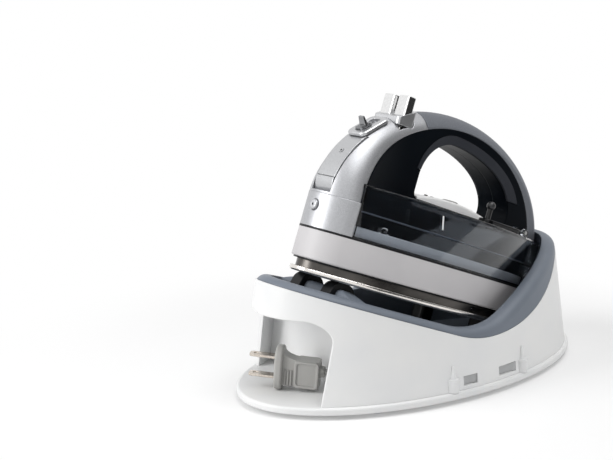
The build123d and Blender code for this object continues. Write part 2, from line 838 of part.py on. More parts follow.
with BuildPart() as panel_lenses:
    with BuildSketch(Plane.XY.offset(hole_floor + 2)):
        with Locations(*led_spots):
            Circle(led_r)
    extrude(amount=deck_crown - hole_floor - 2)


def wall_a(z):
    return base_a - ledge - lean_x * (z - deck_z)


def wall_b(z):
    return base_b - ledge - lean_y * (z - deck_z)


def wall_y(x, z, inset=0.0):
    # Distance of the base wall from the middle plane at a point along it
    return (wall_b(z) - inset) * sqrt(1 - (x / (wall_a(z) - inset)) ** 2)


def wall_sections(inset, low):
    # Leaning oval wall of the base, inset by a wall thickness
    shapes = []
    for z in (low, wall_high):
        with BuildSketch(Plane.XY.offset(z)) as shape:
            Ellipse(wall_a(z) - inset, wall_b(z) - inset)
        shapes.append(shape.sketch.face())
    return shapes


def rim_face():
    # Side view below the wall's edge: slope beside the iron, dip, and rise round the tail
    slope = tan(lean)
    start_z = dock_z - slope * (rim_turn_x - dock_x) - rim_drop
    with BuildSketch(Plane.XZ) as shape:
        with BuildLine():
            front = Line((rim_turn_x - 200, start_z + 200 * slope), (rim_turn_x, start_z))
            dip = JernArc(front @ 1, front % 1, rim_r_front, dock_tilt)
            rise = JernArc(dip @ 1, dip % 1, rim_r_back, rim_rise)
            ease = JernArc(rise @ 1, rise % 1, rim_r_end, 5 - rim_rise)
            back = Line(ease @ 1, (ease @ 1) + (ease % 1) * 100)
            Polyline(back @ 1, ((back @ 1).X, -50), (rim_turn_x - 200, -50), front @ 0)
        make_face()
    return shape.sketch


def band_face():
    # Side view below the grey rim that stands on the wall's edge and climbs behind the iron
    slope = tan(lean)
    start_z = dock_z - slope * (band_turn_x - dock_x) - rim_drop + band_up
    with BuildSketch(Plane.XZ) as shape:
        with BuildLine():
            front = Line((band_turn_x - 200, start_z + 200 * slope), (band_turn_x, start_z))
            dip = JernArc(front @ 1, front % 1, band_r_front, dock_tilt)
            rise = JernArc(dip @ 1, dip % 1, band_r_back, band_rise)
            climb = Line(rise @ 1, (rise @ 1) + (rise % 1) * band_run)
            ease = JernArc(climb @ 1, climb % 1, band_r_end, 3 - band_rise)
            back = Line(ease @ 1, (ease @ 1) + (ease % 1) * 100)
            Polyline(back @ 1, ((back @ 1).X, -50), (band_turn_x - 200, -50), front @ 0)
        make_face()
    return shape.sketch


def floor_face(drop, flat):
    # Side view above a floor that follows the soleplate and levels out at the tail
    slope = tan(lean)
    corner = dock_x + (dock_z - drop - flat) / slope
    with BuildSketch(Plane.XZ) as shape:
        with BuildLine():
            Polyline((-300, flat + slope * (corner + 300)), (corner, flat), (300, flat), (300, 400),
                     (-300, 400), close=True)
        make_face()
    return shape.sketch


tray_drop = well_depth + tray_t / cos(lean)
foot_spots = [(x, y) for x in (foot_front, foot_back) for y in (-foot_y, foot_y)]
pocket_spots = [(-pocket_x, 0), (pocket_x, 0), (0, -pocket_y), (0, pocket_y)]
bay_back = -base_a + bay_depth
reel_x = bay_back + wall_t + reel_gap + reel_r
drum_r = reel_r - reel_wall - drum_gap
cord_pack_r = drum_r - cord_rim

with BuildPart() as base_plate:
    with BuildSketch(Plane.XY.offset(foot_h)):
        Ellipse(base_a, base_b)
    extrude(amount=plate_t)
    fillet(base_plate.faces().sort_by(Axis.Z)[-1].edges(), 1.6)
    fillet(base_plate.faces().sort_by(Axis.Z)[0].edges(), 1.0)
    with BuildSketch(Plane.XY.offset(tray_low - tray_t)):
        Ellipse(base_a - ledge - wall_t, base_b - ledge - wall_t)
        with Locations((20 - base_a, 0)):
            Rectangle(2 * base_a, 2 * base_b, mode=Mode.SUBTRACT)
    extrude(amount=plate_t, mode=Mode.SUBTRACT)
    with BuildSketch(Plane.XY.offset(foot_h)):
        with Locations(*foot_spots):
            Circle(foot_r)
    extrude(amount=foot_seat, mode=Mode.SUBTRACT)
    with BuildSketch(Plane.XY.offset(foot_h)):
        with Locations(*pocket_spots):
            Circle(pocket_r)
    extrude(amount=pocket_d, mode=Mode.SUBTRACT)

with BuildPart() as rubber_feet:
    with BuildSketch():
        with Locations(*foot_spots):
            Circle(foot_r - 0.2)
    extrude(amount=foot_h + foot_seat)
    fillet(rubber_feet.faces().group_by(Axis.Z)[0].edges(), 1.5)

# Lining of the plug bay: ceiling and back wall inside the shell
with BuildPart() as bay_lining:
    loft(wall_sections(wall_t - 1, deck_z))
    with BuildSketch(Plane.XZ):
        with Locations((bay_back + wall_t - 100, bay_top + wall_t - 100)):
            Rectangle(200, 200)
    extrude(amount=200, both=True, mode=Mode.INTERSECT)
    with BuildSketch(Plane.XZ):
        with Locations((bay_back - 100, bay_top - 100)):
            Rectangle(200, 200)
    extrude(amount=200, both=True, mode=Mode.SUBTRACT)
    with BuildSketch(Plane.XZ):
        add(floor_face(tray_drop + gap, tray_low - tray_t - gap))
    extrude(amount=200, both=True, mode=Mode.SUBTRACT)
    with BuildSketch():
        with Locations((reel_x, 0)):
            Circle(reel_r + gap)
    extrude(amount=200, mode=Mode.SUBTRACT)

# The plug lies on the plate in the bay, and its lead turns into a gland in the bay's back wall
yaw, pitch = radians(plug_yaw), radians(plug_pitch)
plug_axis = (cos(yaw) * cos(pitch), sin(yaw) * cos(pitch), -sin(pitch))
flange_up = (flange_tall / 2 - flange_round) * cos(pitch) + (flange_len - flange_round) * sin(pitch)
plug_z = deck_z + flange_up + flange_round
plug_plane = Plane(origin=(-base_a + plug_x, plug_y, plug_z), x_dir=(-sin(yaw), cos(yaw), 0),
                   z_dir=plug_axis)
lead_from = plug_plane.from_local_coords((0, 0, plug_len + boot_len))
lead_turn = lead_from + Vector(*plug_axis) * lead_run
gland_y, gland_z = lead_turn.Y, lead_turn.Z
lead_to = Vector(reel_x - sqrt(reel_r**2 - gland_y**2) + reel_wall / 2, gland_y, gland_z)

def on_bay_edge(edge):
    # True for the edges of the plug bay on the outside of the wall
    mid = edge @ 0.5
    outside = abs(hypot(mid.X / wall_a(mid.Z), mid.Y / wall_b(mid.Z)) - 1) < 0.001
    return outside and deck_z + 0.5 < mid.Z < bay_top + 0.5 and mid.X < bay_back


# Base shell: leaning oval wall, rim cut, plug bay in front, latch bosses on the sides
with BuildPart() as base_shell:
    loft(wall_sections(0, deck_z))
    for side in (-1, 1):
        for at in boss_x:
            with BuildSketch(Plane.XY.offset(deck_z)):
                with Locations((at, side * (wall_y(at, deck_z) - boss_r + boss_out))):
                    Circle(boss_r)
            extrude(amount=boss_h)
            with BuildSketch(Plane.XY.offset(deck_z + boss_h)):
                with Locations((at, side * (wall_y(at, deck_z + boss_h) - 0.4))):
                    Circle(boss_r * 0.55)
            extrude(amount=boss_h, taper=12)
    loft(wall_sections(wall_t, deck_z - 0.01), mode=Mode.SUBTRACT)
    with BuildSketch(Plane.XZ):
        add(rim_face())
    extrude(amount=200, both=True, mode=Mode.INTERSECT)
    with BuildSketch(Plane.YZ.offset(-2 * base_a)):
        with Locations((0, (deck_z - 40 + bay_top) / 2)):
            RectangleRounded(2 * bay_half, bay_top - deck_z + 40, bay_corner)
    extrude(amount=2 * base_a + bay_back, mode=Mode.SUBTRACT)
    with BuildSketch(Plane.YZ.offset(-2 * base_a)):
        with Locations((bay_far / 2, (deck_z - 40 + bay_top) / 2)):
            RectangleRounded(bay_far, bay_top - deck_z + 40, bay_corner)
    extrude(amount=base_a + bay_far_depth, mode=Mode.SUBTRACT)
    fillet(base_shell.edges().filter_by(on_bay_edge), bay_round)
    add(bay_lining.part)
    with BuildSketch(Plane.YZ.offset(bay_back - 5)):
        with Locations((gland_y, gland_z)):
            Circle(gland_r)
    extrude(amount=5 + wall_t + 5, mode=Mode.SUBTRACT)
    for side in (-1, 1):
        for at, long in latch_spots:
            with BuildSketch(Plane.XZ.offset(-side * (wall_y(at, latch_z) + 10))):
                with Locations((at, latch_z)):
                    Rectangle(long, latch_tall)
            extrude(amount=side * (10 + latch_d), mode=Mode.SUBTRACT)

# Dock tray: grey rim and the well the iron stands in
with BuildPart() as well_space:
    loft(wall_sections(wall_t + tray_gap + rim_w, tray_low))
    with BuildSketch(Plane.XZ):
        add(floor_face(well_depth, tray_low))
    extrude(amount=200, both=True, mode=Mode.INTERSECT)

with BuildPart() as shell_space:
    loft(wall_sections(-10, -20))
    loft(wall_sections(wall_t + tray_gap, -20), mode=Mode.SUBTRACT)
    with BuildSketch(Plane.XZ):
        add(rim_face())
    extrude(amount=200, both=True, mode=Mode.INTERSECT)

# Hump across the well under the nose, drawn with the iron
rib_deep = well_depth * cos(lean)


def hump_face(grow):
    low = -rib_deep - tray_t / 2
    with BuildSketch(Plane.XZ) as shape:
        with BuildLine():
            Polyline((hump_front - hump_lean, low), (hump_front, -rib_t), (hump_back, -rib_t),
                     (hump_back + 2 * hump_lean, low), close=True)
        make_face()
        fillet(shape.vertices().group_by(Axis.Z)[-1], hump_round)
        if grow:
            offset(amount=grow)
    return shape.sketch


with BuildPart() as nose_hump:
    with BuildSketch(Plane.XZ):
        add(hump_face(0))
    extrude(amount=hump_half, both=True)
    with BuildSketch(Plane.YZ.offset(-body_len)):
        with BuildLine():
            Polyline((-hump_half, -rib_deep - tray_t), (-hump_half, -2.2 * rib_t), (-hump_flat, -rib_t),
                     (hump_flat, -rib_t), (hump_half, -2.2 * rib_t), (hump_half, -rib_deep - tray_t),
                     close=True)
        make_face()
    extrude(amount=body_len, mode=Mode.INTERSECT)

with BuildPart() as dock_tray:
    loft(wall_sections(gap, tray_low - tray_t))
    with BuildSketch(Plane.XZ):
        add(band_face())
    extrude(amount=200, both=True, mode=Mode.INTERSECT)
    upper = dock_tray.edges().filter_by(lambda e: e.bounding_box().min.Z > deck_z)
    outline = upper.filter_by(GeomType.LINE, reverse=True)
    fillet(outline, band_round)
    add(shell_space.part, mode=Mode.SUBTRACT)
    with BuildSketch(Plane.XZ):
        add(floor_face(tray_drop, tray_low - tray_t))
    extrude(amount=200, both=True, mode=Mode.INTERSECT)
    add(well_space.part, mode=Mode.SUBTRACT)
    add(docked.location * nose_hump.part)

# Two rubber ribs that wrap over the hump and carry the nose
with BuildPart() as nose_ribs:
    for side in (rib_y, -rib_y):
        with BuildSketch(Plane.XZ.offset(-side - rib_wid / 2)):
            add(hump_face(rib_t))
            add(hump_face(0), mode=Mode.SUBTRACT)
            with Locations((0, -rib_foot - 100)):
                Rectangle(4 * body_len, 200, mode=Mode.SUBTRACT)
        extrude(amount=rib_wid)

with BuildPart() as rear_rests:
    with BuildSketch(Plane.XY):
        with Locations((rest_x, rest_y), (rest_x, -rest_y)):
            RectangleRounded(rest_size, rest_size, 3)
    extrude(amount=-rib_deep)

# Terminal block behind the tail, its face leaning with the iron
def from_iron(x, z):
    return (dock_x + x * cos(lean) + z * sin(lean), dock_z - x * sin(lean) + z * cos(lean))


face_x = body_len / 2 + block_gap
face_low, face_high = from_iron(face_x, block_low), from_iron(face_x, block_high)
with BuildPart() as terminal_block:
    with BuildSketch(Plane.XZ):
        with BuildLine():
            Polyline(face_low, face_high, (face_high[0] + 3, face_high[1]), (face_high[0] + 3, tray_low),
                     (face_low[0], tray_low), close=True)
        make_face()
    extrude(amount=block_half, both=True)

with BuildPart() as dock_contacts:
    with BuildSketch(Plane.XY.offset(casting_top + 1.5)):
        with Locations((face_x - 0.5, contact_y), (face_x - 0.5, -contact_y)):
            Rectangle(1.0, contact_wid - 1)
    extrude(amount=6)

# Cord reel: housing with a leaning roof, drum on an axle, wound cord, spiral spring in the hub
roof_z = dock_z - tray_drop - gap - reel_wall - tan(lean) * (reel_x + drum_r - dock_x)
drum_high = roof_z - drum_room
with BuildPart() as reel_room:
    with BuildSketch(Plane.XY.offset(deck_z)):
        with Locations((reel_x, 0)):
            Circle(reel_r - reel_wall)
    extrude(amount=100)
    with BuildSketch(Plane.XZ):
        add(floor_face(tray_drop + gap + reel_wall, tray_low - tray_t - gap - reel_wall))
    extrude(amount=200, both=True, mode=Mode.SUBTRACT)

with BuildPart() as reel_housing:
    with BuildSketch(Plane.XY.offset(deck_z)):
        with Locations((reel_x, 0)):
            Circle(reel_r)
    extrude(amount=100)
    with BuildSketch(Plane.XZ):
        add(floor_face(tray_drop + gap, tray_low - tray_t - gap))
    extrude(amount=200, both=True, mode=Mode.SUBTRACT)
    add(reel_room.part, mode=Mode.SUBTRACT)
    with BuildSketch(Plane.YZ.offset(bay_back)):
        with Locations((gland_y, gland_z)):
            Circle(gland_r + gap)
    extrude(amount=reel_x - bay_back - drum_hub, mode=Mode.SUBTRACT)

with BuildPart() as reel_axle:
    with BuildSketch(Plane.XY.offset(deck_z)):
        with Locations((reel_x, 0)):
            Circle(axle_r)
    extrude(amount=drum_high - deck_z)

hub_in = drum_hub - drum_flange
web = drum_low + drum_flange
lid = drum_high - drum_flange
drum_outline = [(axle_r + slip, drum_low), (drum_r, drum_low), (drum_r, web), (drum_hub, web),
                (drum_hub, lid), (drum_r, lid), (drum_r, drum_high), (hub_in, drum_high), (hub_in, web),
                (axle_r + slip, web)]
with BuildPart() as reel_drum:
    with BuildSketch(Plane.XZ):
        with BuildLine():
            Polyline(*[(reel_x + r, z) for r, z in drum_outline], close=True)
        make_face()
    revolve(axis=Axis((reel_x, 0, 0), (0, 0, 1)))

with BuildPart() as wound_cord:
    with BuildSketch(Plane.XY.offset(drum_low + drum_flange)):
        with Locations((reel_x, 0)):
            Circle(cord_pack_r)
            Circle(drum_hub, mode=Mode.SUBTRACT)
    extrude(amount=drum_high - drum_low - 2 * drum_flange)

with BuildPart() as reel_spring:
    with BuildSketch(Plane.XY.offset(drum_low + drum_flange + gap)):
        with Locations((reel_x, 0)):
            Circle(drum_hub - drum_flange - 1.5)
            Circle(axle_r, mode=Mode.SUBTRACT)
    extrude(amount=drum_high - drum_low - 2 * drum_flange - 2 * gap)

# Stored plug: flange, neck that curves down to a pad on each side for the fingers, two flat blades,
# boot and the short lead into the base
plug_side = Plane(origin=plug_plane.origin, x_dir=plug_axis, z_dir=plug_plane.x_dir * -1)
grip_mid = ((grip_from + plug_len) / 2, (grip_up - grip_down) / 2)
grip_size = (plug_len - grip_from, grip_up + grip_down)
rib_step = (grip_from - flange_len) / (neck_ribs + 1)
with BuildPart() as plug_body:
    with BuildSketch(plug_plane):
        RectangleRounded(flange_wid, flange_tall, flange_wid * 0.45)
    extrude(amount=flange_len)
    fillet(plug_body.edges().group_by(SortBy.LENGTH)[-1], flange_round)
    with BuildSketch(plug_side):
        with BuildLine():
            top = Line((flange_len - 1, 0), (flange_len - 1, flange_tall / 2 - 1))
            down = EllipticalCenterArc((neck_end, flange_tall / 2 - 1), neck_end - flange_len + 1,
                                       flange_tall / 2 - 1 - grip_up, 180, arc_size=90)
            Polyline((neck_end, grip_up), (plug_len, grip_up), (plug_len, -grip_down),
                     (flange_len - 1, -grip_down), (flange_len - 1, 0))
        make_face()
    extrude(amount=neck_wid / 2, both=True)
    with BuildSketch(plug_side):
        with Locations(*[(flange_len + rib_step * (k + 1), -grip_down / 2) for k in range(neck_ribs)]):
            RectangleRounded(rib_step / 2, grip_down, rib_step / 5)
    extrude(amount=neck_wid / 2 + 0.8, both=True)
    for side in (1, -1):
        with BuildSketch(plug_side):
            with Locations(grip_mid):
                RectangleRounded(*grip_size, 2.5)
        extrude(amount=side * grip_wid / 2)
        with BuildSketch(plug_side.offset(side * grip_wid / 2)):
            with Locations(grip_mid):
                RectangleRounded(grip_size[0] - 3.2, grip_size[1] - 3.2, 1.5)
        extrude(amount=-side * grip_inset, mode=Mode.SUBTRACT)

with BuildPart() as plug_blades:
    with BuildSketch(plug_plane):
        with Locations((0, blade_pitch / 2), (0, -blade_pitch / 2)):
            Rectangle(blade_wid, blade_tall)
    extrude(amount=-blade_len)
    hole_plane = Plane(origin=plug_plane.from_local_coords((0, 0, -blade_len + 4.0)), x_dir=plug_plane.x_dir,
                       z_dir=plug_plane.y_dir)
    with BuildSketch(hole_plane):
        Circle(1.6)
    extrude(amount=blade_pitch, both=True, mode=Mode.SUBTRACT)
    tips = plug_blades.edges().filter_by(Axis(plug_plane.origin, plug_plane.y_dir))
    chamfer(tips.group_by(Axis(plug_plane.origin, plug_axis))[0], 1.2)

with BuildPart() as plug_boot:
    with BuildSketch(plug_plane.offset(plug_len)):
        Circle(cord_r + 1.8)
    extrude(amount=boot_len, taper=8)

with BuildPart() as cord_lead:
    with BuildLine():
        FilletPolyline(lead_from, lead_turn, lead_to, radius=lead_bend)
    with BuildSketch(plug_plane.offset(plug_len + boot_len)):
        Circle(cord_r)
    sweep()
print("lead bend radius", round(lead_bend, 2))

with BuildPart() as cord_gland:
    with BuildSketch(Plane.YZ.offset(bay_back - collar_t)):
        with Locations((gland_y, gland_z)):
            Circle(gland_r + collar_t)
    extrude(amount=collar_t)
    with BuildSketch(Plane.YZ.offset(bay_back)):
        with Locations((gland_y, gland_z)):
            Circle(gland_r - 0.1)
    extrude(amount=wall_t + 1.5)
    with BuildSketch(Plane.YZ.offset(bay_back - collar_t)):
        with Locations((gland_y, gland_z)):
            Circle(cord_r + slip)
    extrude(amount=collar_t + wall_t + 1.5, mode=Mode.SUBTRACT)

base_pieces = {
    "base_plate": base_plate, "rubber_feet": rubber_feet, "base_shell": base_shell, "dock_tray": dock_tray,
    "terminal_block": terminal_block, "reel_housing": reel_housing, "reel_axle": reel_axle,
    "reel_drum": reel_drum, "wound_cord": wound_cord, "reel_spring": reel_spring, "plug_body": plug_body,
    "plug_blades": plug_blades, "plug_boot": plug_boot, "cord_lead": cord_lead, "cord_gland": cord_gland,
}
leaning_pieces = {
    "nose_ribs": nose_ribs, "rear_rests": rear_rests, "dock_contacts": dock_contacts,
    "soleplate": soleplate, "heater_casting": heater_casting, "heating_element": heating_element,
    "steam_cover": steam_cover, "skirt_gasket": skirt_gasket, "skirt": skirt, "tail_terminal": tail_terminal,
    "tail_contacts": tail_contacts, "chassis": chassis, "valve_body": valve_body, "thermostat": thermostat,
    "thermal_fuse": thermal_fuse, "control_board": control_board, "nose_shell": nose_shell,
    "spray_nozzle": spray_nozzle, "front_shell": front_shell, "front_panel": front_panel,
    "pilot_lens": pilot_lens, "selector_bezel": selector_bezel, "steam_slider": steam_slider,
    "key_deck": key_deck, "spray_key": spray_key, "shot_key": shot_key, "spray_pump": spray_pump,
    "shot_pump": shot_pump, "spray_spring": spray_spring, "shot_spring": shot_spring,
    "rear_cover": rear_cover, "handle_left": handle_left, "handle_right": handle_right,
    "grip_inlay_left": grip_inlay_left, "grip_inlay_right": grip_inlay_right, "water_tank": water_tank,
    "cap_pin": cap_pin, "filler_cap": filler_cap, "cap_seal": cap_seal, "cap_knob": cap_knob,
    "control_panel": control_panel, "temperature_button": temperature_button, "panel_lenses": panel_lenses,
}
for name, piece in base_pieces.items():
    piece.part.label = name
    export_step(piece.part, f"parts/{name}.step")
for name, piece in leaning_pieces.items():
    placed = docked.location * piece.part
    placed.label = name
    export_step(placed, f"parts/{name}.step")
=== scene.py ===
import bpy
import bmesh
from math import asin, atan2, cos, pi, radians, sin, sqrt
from mathutils import Vector, Matrix


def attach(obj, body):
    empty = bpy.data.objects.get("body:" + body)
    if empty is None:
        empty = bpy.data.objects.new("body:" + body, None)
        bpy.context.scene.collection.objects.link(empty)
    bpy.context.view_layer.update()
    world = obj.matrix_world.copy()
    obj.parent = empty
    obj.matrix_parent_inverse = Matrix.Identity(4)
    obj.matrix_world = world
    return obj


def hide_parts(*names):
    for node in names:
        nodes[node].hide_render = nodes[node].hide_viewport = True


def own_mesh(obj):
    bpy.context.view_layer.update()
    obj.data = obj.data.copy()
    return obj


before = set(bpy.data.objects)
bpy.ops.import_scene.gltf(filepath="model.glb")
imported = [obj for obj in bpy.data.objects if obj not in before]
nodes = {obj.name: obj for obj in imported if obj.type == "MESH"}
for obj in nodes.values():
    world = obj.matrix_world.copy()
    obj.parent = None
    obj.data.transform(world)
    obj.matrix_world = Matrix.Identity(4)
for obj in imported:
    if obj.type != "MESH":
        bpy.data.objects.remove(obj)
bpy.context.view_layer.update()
print("frame loaded,", len(nodes), "CAD nodes")

# The iron is drawn lying flat in the CAD, in millimetres, and then leant back onto the base
leanSetup = {"tilt": 20.2, "dockX": -4.4, "dockZ": 47.52}
leanTurn = Matrix.Rotation(radians(leanSetup["tilt"]), 4, "Y")
leanPlace = Matrix.Translation((leanSetup["dockX"], 0, leanSetup["dockZ"])) @ leanTurn
toMetres = Matrix.Scale(0.001, 4)
ironPlace = toMetres @ leanPlace


# Helpers for node trees and the scene
def toLinear(level):
    # a screen value from 0 to 255 as linear light
    share = level / 255
    return ((share + 0.055) / 1.055) ** 2.4 if level > 10 else share / 12.92


def srgb(r, g, b):
    return toLinear(r), toLinear(g), toLinear(b), 1.0


def greyOf(tone):
    return tone, tone, tone, 1


def setInputs(tree, node, inputs):
    # a value is set on its socket, and another node's output is linked to it
    for label, value in inputs.items():
        if isinstance(value, bpy.types.NodeSocket):
            tree.links.new(value, node.inputs[label])
        else:
            node.inputs[label].default_value = value


def addNode(tree, kind, inputs, **settings):
    node = tree.nodes.new(kind)
    for label, value in settings.items():
        setattr(node, label, value)
    setInputs(tree, node, inputs)
    return node


def mathNode(tree, operation, a, b):
    return addNode(tree, "ShaderNodeMath", {0: a, 1: b}, operation=operation).outputs[0]


def mapRange(tree, value, source, target, blend="LINEAR"):
    node = addNode(tree, "ShaderNodeMapRange", {
        "Value": value,
        "From Min": source[0],
        "From Max": source[1],
        "To Min": target[0],
        "To Max": target[1],
    }, interpolation_type=blend)
    return node.outputs["Result"]


def noise(tree, place, scale, detail, rough):
    node = addNode(tree, "ShaderNodeTexNoise", {
        "Vector": place, "Scale": scale, "Detail": detail, "Roughness": rough})
    return node.outputs["Fac"]


def objectPlace(tree):
    return tree.nodes.new("ShaderNodeTexCoord").outputs["Object"]


def distanceTo(tree, point):
    # how far the shaded spot lies from a point, in metres
    reach = addNode(tree, "ShaderNodeVectorMath", {0: objectPlace(tree), 1: point}, operation="DISTANCE")
    return reach.outputs["Value"]


def seenRays(tree):
    # 1 where the eye, a mirror or a clear wall looks at a surface, 0 for light that only bounces
    rays = tree.nodes.new("ShaderNodeLightPath").outputs
    direct = mathNode(tree, "MAXIMUM", rays["Is Camera Ray"], rays["Is Glossy Ray"])
    return mathNode(tree, "MAXIMUM", direct, rays["Is Transmission Ray"])


def mixShaders(tree, share, first, second, end):
    mix = addNode(tree, "ShaderNodeMixShader", {0: share, 1: first.outputs[0], 2: second.outputs[0]})
    tree.links.new(mix.outputs[0], end.inputs["Surface"])


def newMaterial(name):
    mat = bpy.data.materials.new(name)
    mat.use_nodes = True
    return mat, mat.node_tree, mat.node_tree.nodes["Principled BSDF"]


def addObject(name, data):
    thing = bpy.data.objects.new(name, data)
    bpy.context.scene.collection.objects.link(thing)
    return thing


def aimAt(thing, place, target):
    thing.location = place
    thing.rotation_euler = (Vector(target) - Vector(place)).to_track_quat("-Z", "Y").to_euler()


def addQuad(name, corners, mat):
    mesh = bpy.data.meshes.new(name)
    mesh.from_pydata(corners, [], [(0, 1, 2, 3)])
    mesh.materials.append(mat)
    return addObject(name, mesh)


# Camera, floor and light
cameraSetup = {
    "place": (-0.52847, -0.55739, 0.25809),
    "target": (-0.05026, 0.05163, 0.09245),
    "lens": 69.5,
    "sensor": 36.0,
    "clip": (0.02, 60),
}


def makeCamera(setup):
    data = bpy.data.cameras.new("studioCamera")
    data.lens = setup["lens"]
    data.sensor_width = setup["sensor"]
    data.sensor_fit = "HORIZONTAL"
    data.clip_start, data.clip_end = setup["clip"]
    cam = addObject("studioCamera", data)
    aimAt(cam, setup["place"], setup["target"])
    bpy.context.scene.camera = cam


lampSetup = [
    {"name": "keySoftbox", "place": (-1.2, 0.45, 0.85), "aim": (0, 0, 0.08), "size": 0.8, "watts": 11},
    {"name": "fillSoftbox", "place": (0.9, -1.3, 0.7), "aim": (0, 0, 0.08), "size": 0.8, "watts": 4},
    {"name": "lowSoftbox", "place": (-1.25, 0.25, 0.34), "aim": (-0.1, 0, 0.04), "size": 0.5, "watts": 3.5},
    {"name": "topSoftbox", "place": (0.02, -0.42, 1.4), "aim": (0, 0, 0.05), "size": 0.9, "watts": 10},
]


def makeLamp(setup):
    data = bpy.data.lights.new(setup["name"], "AREA")
    data.shape = "SQUARE"
    data.size = setup["size"]
    data.energy = setup["watts"]
    aimAt(addObject(setup["name"], data), setup["place"], setup["aim"])


floorSetup = {
    "half": 20.0,
    "tone": 0.90,
    "rough": 0.75,
    "specular": 0.15,
    "glow": 1.0,
    "fade": (0.17, 0.31),
    "lift": 0.25,
}


def makeFloor(setup):
    # pale near the object, and fading to plain white further out
    mat, tree, bsdf = newMaterial("paleFloor")
    setInputs(tree, bsdf, {
        "Base Color": greyOf(setup["tone"]),
        "Roughness": setup["rough"],
        "Specular IOR Level": setup["specular"],
    })
    glow = addNode(tree, "ShaderNodeEmission", {"Strength": setup["glow"]})
    fade = mapRange(tree, distanceTo(tree, (0, 0, 0)), setup["fade"], (setup["lift"], 1.0), "SMOOTHSTEP")
    share = mathNode(tree, "MULTIPLY", fade, seenRays(tree))
    mixShaders(tree, share, bsdf, glow, tree.nodes["Material Output"])
    h = setup["half"]
    floor = addQuad("floor", [(-h, -h, 0), (h, -h, 0), (h, h, 0), (-h, h, 0)], mat)


cardSetup = {"place": (0.15, -0.36, 0.27), "width": 0.66, "tall": 0.48, "tone": 0.015, "rough": 0.9}


def makeCard(setup):
    # black card at the right front, as in a product studio, seen only in reflections and through clear walls
    mat, tree, bsdf = newMaterial("cardBlack")
    setInputs(tree, bsdf, {"Base Color": greyOf(setup["tone"]), "Roughness": setup["rough"]})
    middle = Vector(setup["place"])
    away = Vector((middle.x, middle.y, 0)).normalized()
    side = Vector((-away.y, away.x, 0)) * setup["width"] / 2
    rise = Vector((0, 0, setup["tall"] / 2))
    low, high = middle - rise, middle + rise
    card = addQuad("blackCard", [low - side, low + side, high + side, high - side], mat)
    card.visible_camera = False
    card.visible_diffuse = False
    card.visible_shadow = False


worldSetup = {"light": 0.34, "seen": 1.0}


def makeWorld(setup):
    # plain white where it is seen, and dimmer as a light
    world = bpy.data.worlds.new("studio")
    bpy.context.scene.world = world
    world.use_nodes = True
    tree = world.node_tree
    dim = tree.nodes["Background"]
    white = tree.nodes.new("ShaderNodeBackground")
    for sky, strength in ((dim, setup["light"]), (white, setup["seen"])):
        setInputs(tree, sky, {"Color": greyOf(1), "Strength": strength})
    mixShaders(tree, seenRays(tree), dim, white, tree.nodes["World Output"])


makeCamera(cameraSetup)
for lamp in lampSetup:
    makeLamp(lamp)
makeFloor(floorSetup)
makeCard(cardSetup)
makeWorld(worldSetup)
bpy.context.scene.view_settings.view_transform = "Standard"
print("camera, floor and", len(lampSetup), "lamps placed")


# Shared shader groups
def newGroup(name, numbers, outputs):
    # takes a place and some numbers, and gives out plain values
    group = bpy.data.node_groups.new(name, "ShaderNodeTree")
    group.interface.new_socket(name="Place", in_out="INPUT", socket_type="NodeSocketVector")
    for label, value in numbers.items():
        socket = group.interface.new_socket(name=label, in_out="INPUT", socket_type="NodeSocketFloat")
        socket.default_value = value
    for label in outputs:
        group.interface.new_socket(name=label, in_out="OUTPUT", socket_type="NodeSocketFloat")
    return group, group.nodes.new("NodeGroupInput").outputs, group.nodes.new("NodeGroupOutput")


# In these three groups a noise is given as its scale, detail and roughness; mouldGrain's scales are inputs
mouldGrain = {
    "grain": 2600.0,
    "smudge": 22.0,
    "fine": (3.0, 0.6),
    "slow": (3.0, 0.55),
    "glossFrom": (0.3, 0.7),
}


def makeMouldGrain(setup):
    # spark-eroded mould texture: a fine pebble, with a slow drift in gloss from handling
    numbers = {"Grain": setup["grain"], "Smudge": setup["smudge"]}
    group, given, end = newGroup("mouldGrain", numbers, ["Height", "Gloss"])
    slow = noise(group, given["Place"], given["Smudge"], *setup["slow"])
    setInputs(group, end, {
        "Height": noise(group, given["Place"], given["Grain"], *setup["fine"]),
        "Gloss": mapRange(group, slow, setup["glossFrom"], (0.0, 1.0)),
    })
    return group


brushLines = {
    "across": 5200.0,
    "along": 60.0,
    "fine": (1.0, 2.0, 0.6),
    "broad": (0.12, 2.0, 0.5),
    "streakFrom": (0.3, 0.7),
}


def makeBrushLines(setup):
    # fine drawn lines along X, with broader streaks of tone
    numbers = {"Across": setup["across"], "Along": setup["along"]}
    group, given, end = newGroup("brushLines", numbers, ["Height", "Streak"])
    place = addNode(group, "ShaderNodeSeparateXYZ", {0: given["Place"]}).outputs
    drawn = addNode(group, "ShaderNodeCombineXYZ", {
        axis: mathNode(group, "MULTIPLY", place[axis], given[way])
        for axis, way in (("X", "Along"), ("Y", "Across"), ("Z", "Across"))}).outputs[0]
    setInputs(group, end, {
        "Height": noise(group, drawn, *setup["fine"]),
        "Streak": mapRange(group, noise(group, drawn, *setup["broad"]), setup["streakFrom"], (0.0, 1.0)),
    })
    return group


paintFlakes = {"size": 4200.0, "cloud": (30.0, 3.0, 0.5), "height": (1400.0, 2.0, 0.5)}


def makePaintFlakes(setup):
    # metallic paint: small flakes, each with its own tone, under a slow cloud
    group, given, end = newGroup("paintFlakes", {"Size": setup["size"]}, ["Tone", "Cloud", "Height"])
    cells = addNode(group, "ShaderNodeTexVoronoi", {"Vector": given["Place"], "Scale": given["Size"]})
    tone = addNode(group, "ShaderNodeSeparateColor", {0: cells.outputs["Color"]})
    setInputs(group, end, {
        "Tone": tone.outputs[0],
        "Cloud": noise(group, given["Place"], *setup["cloud"]),
        "Height": noise(group, given["Place"], *setup["height"]),
    })
    return group


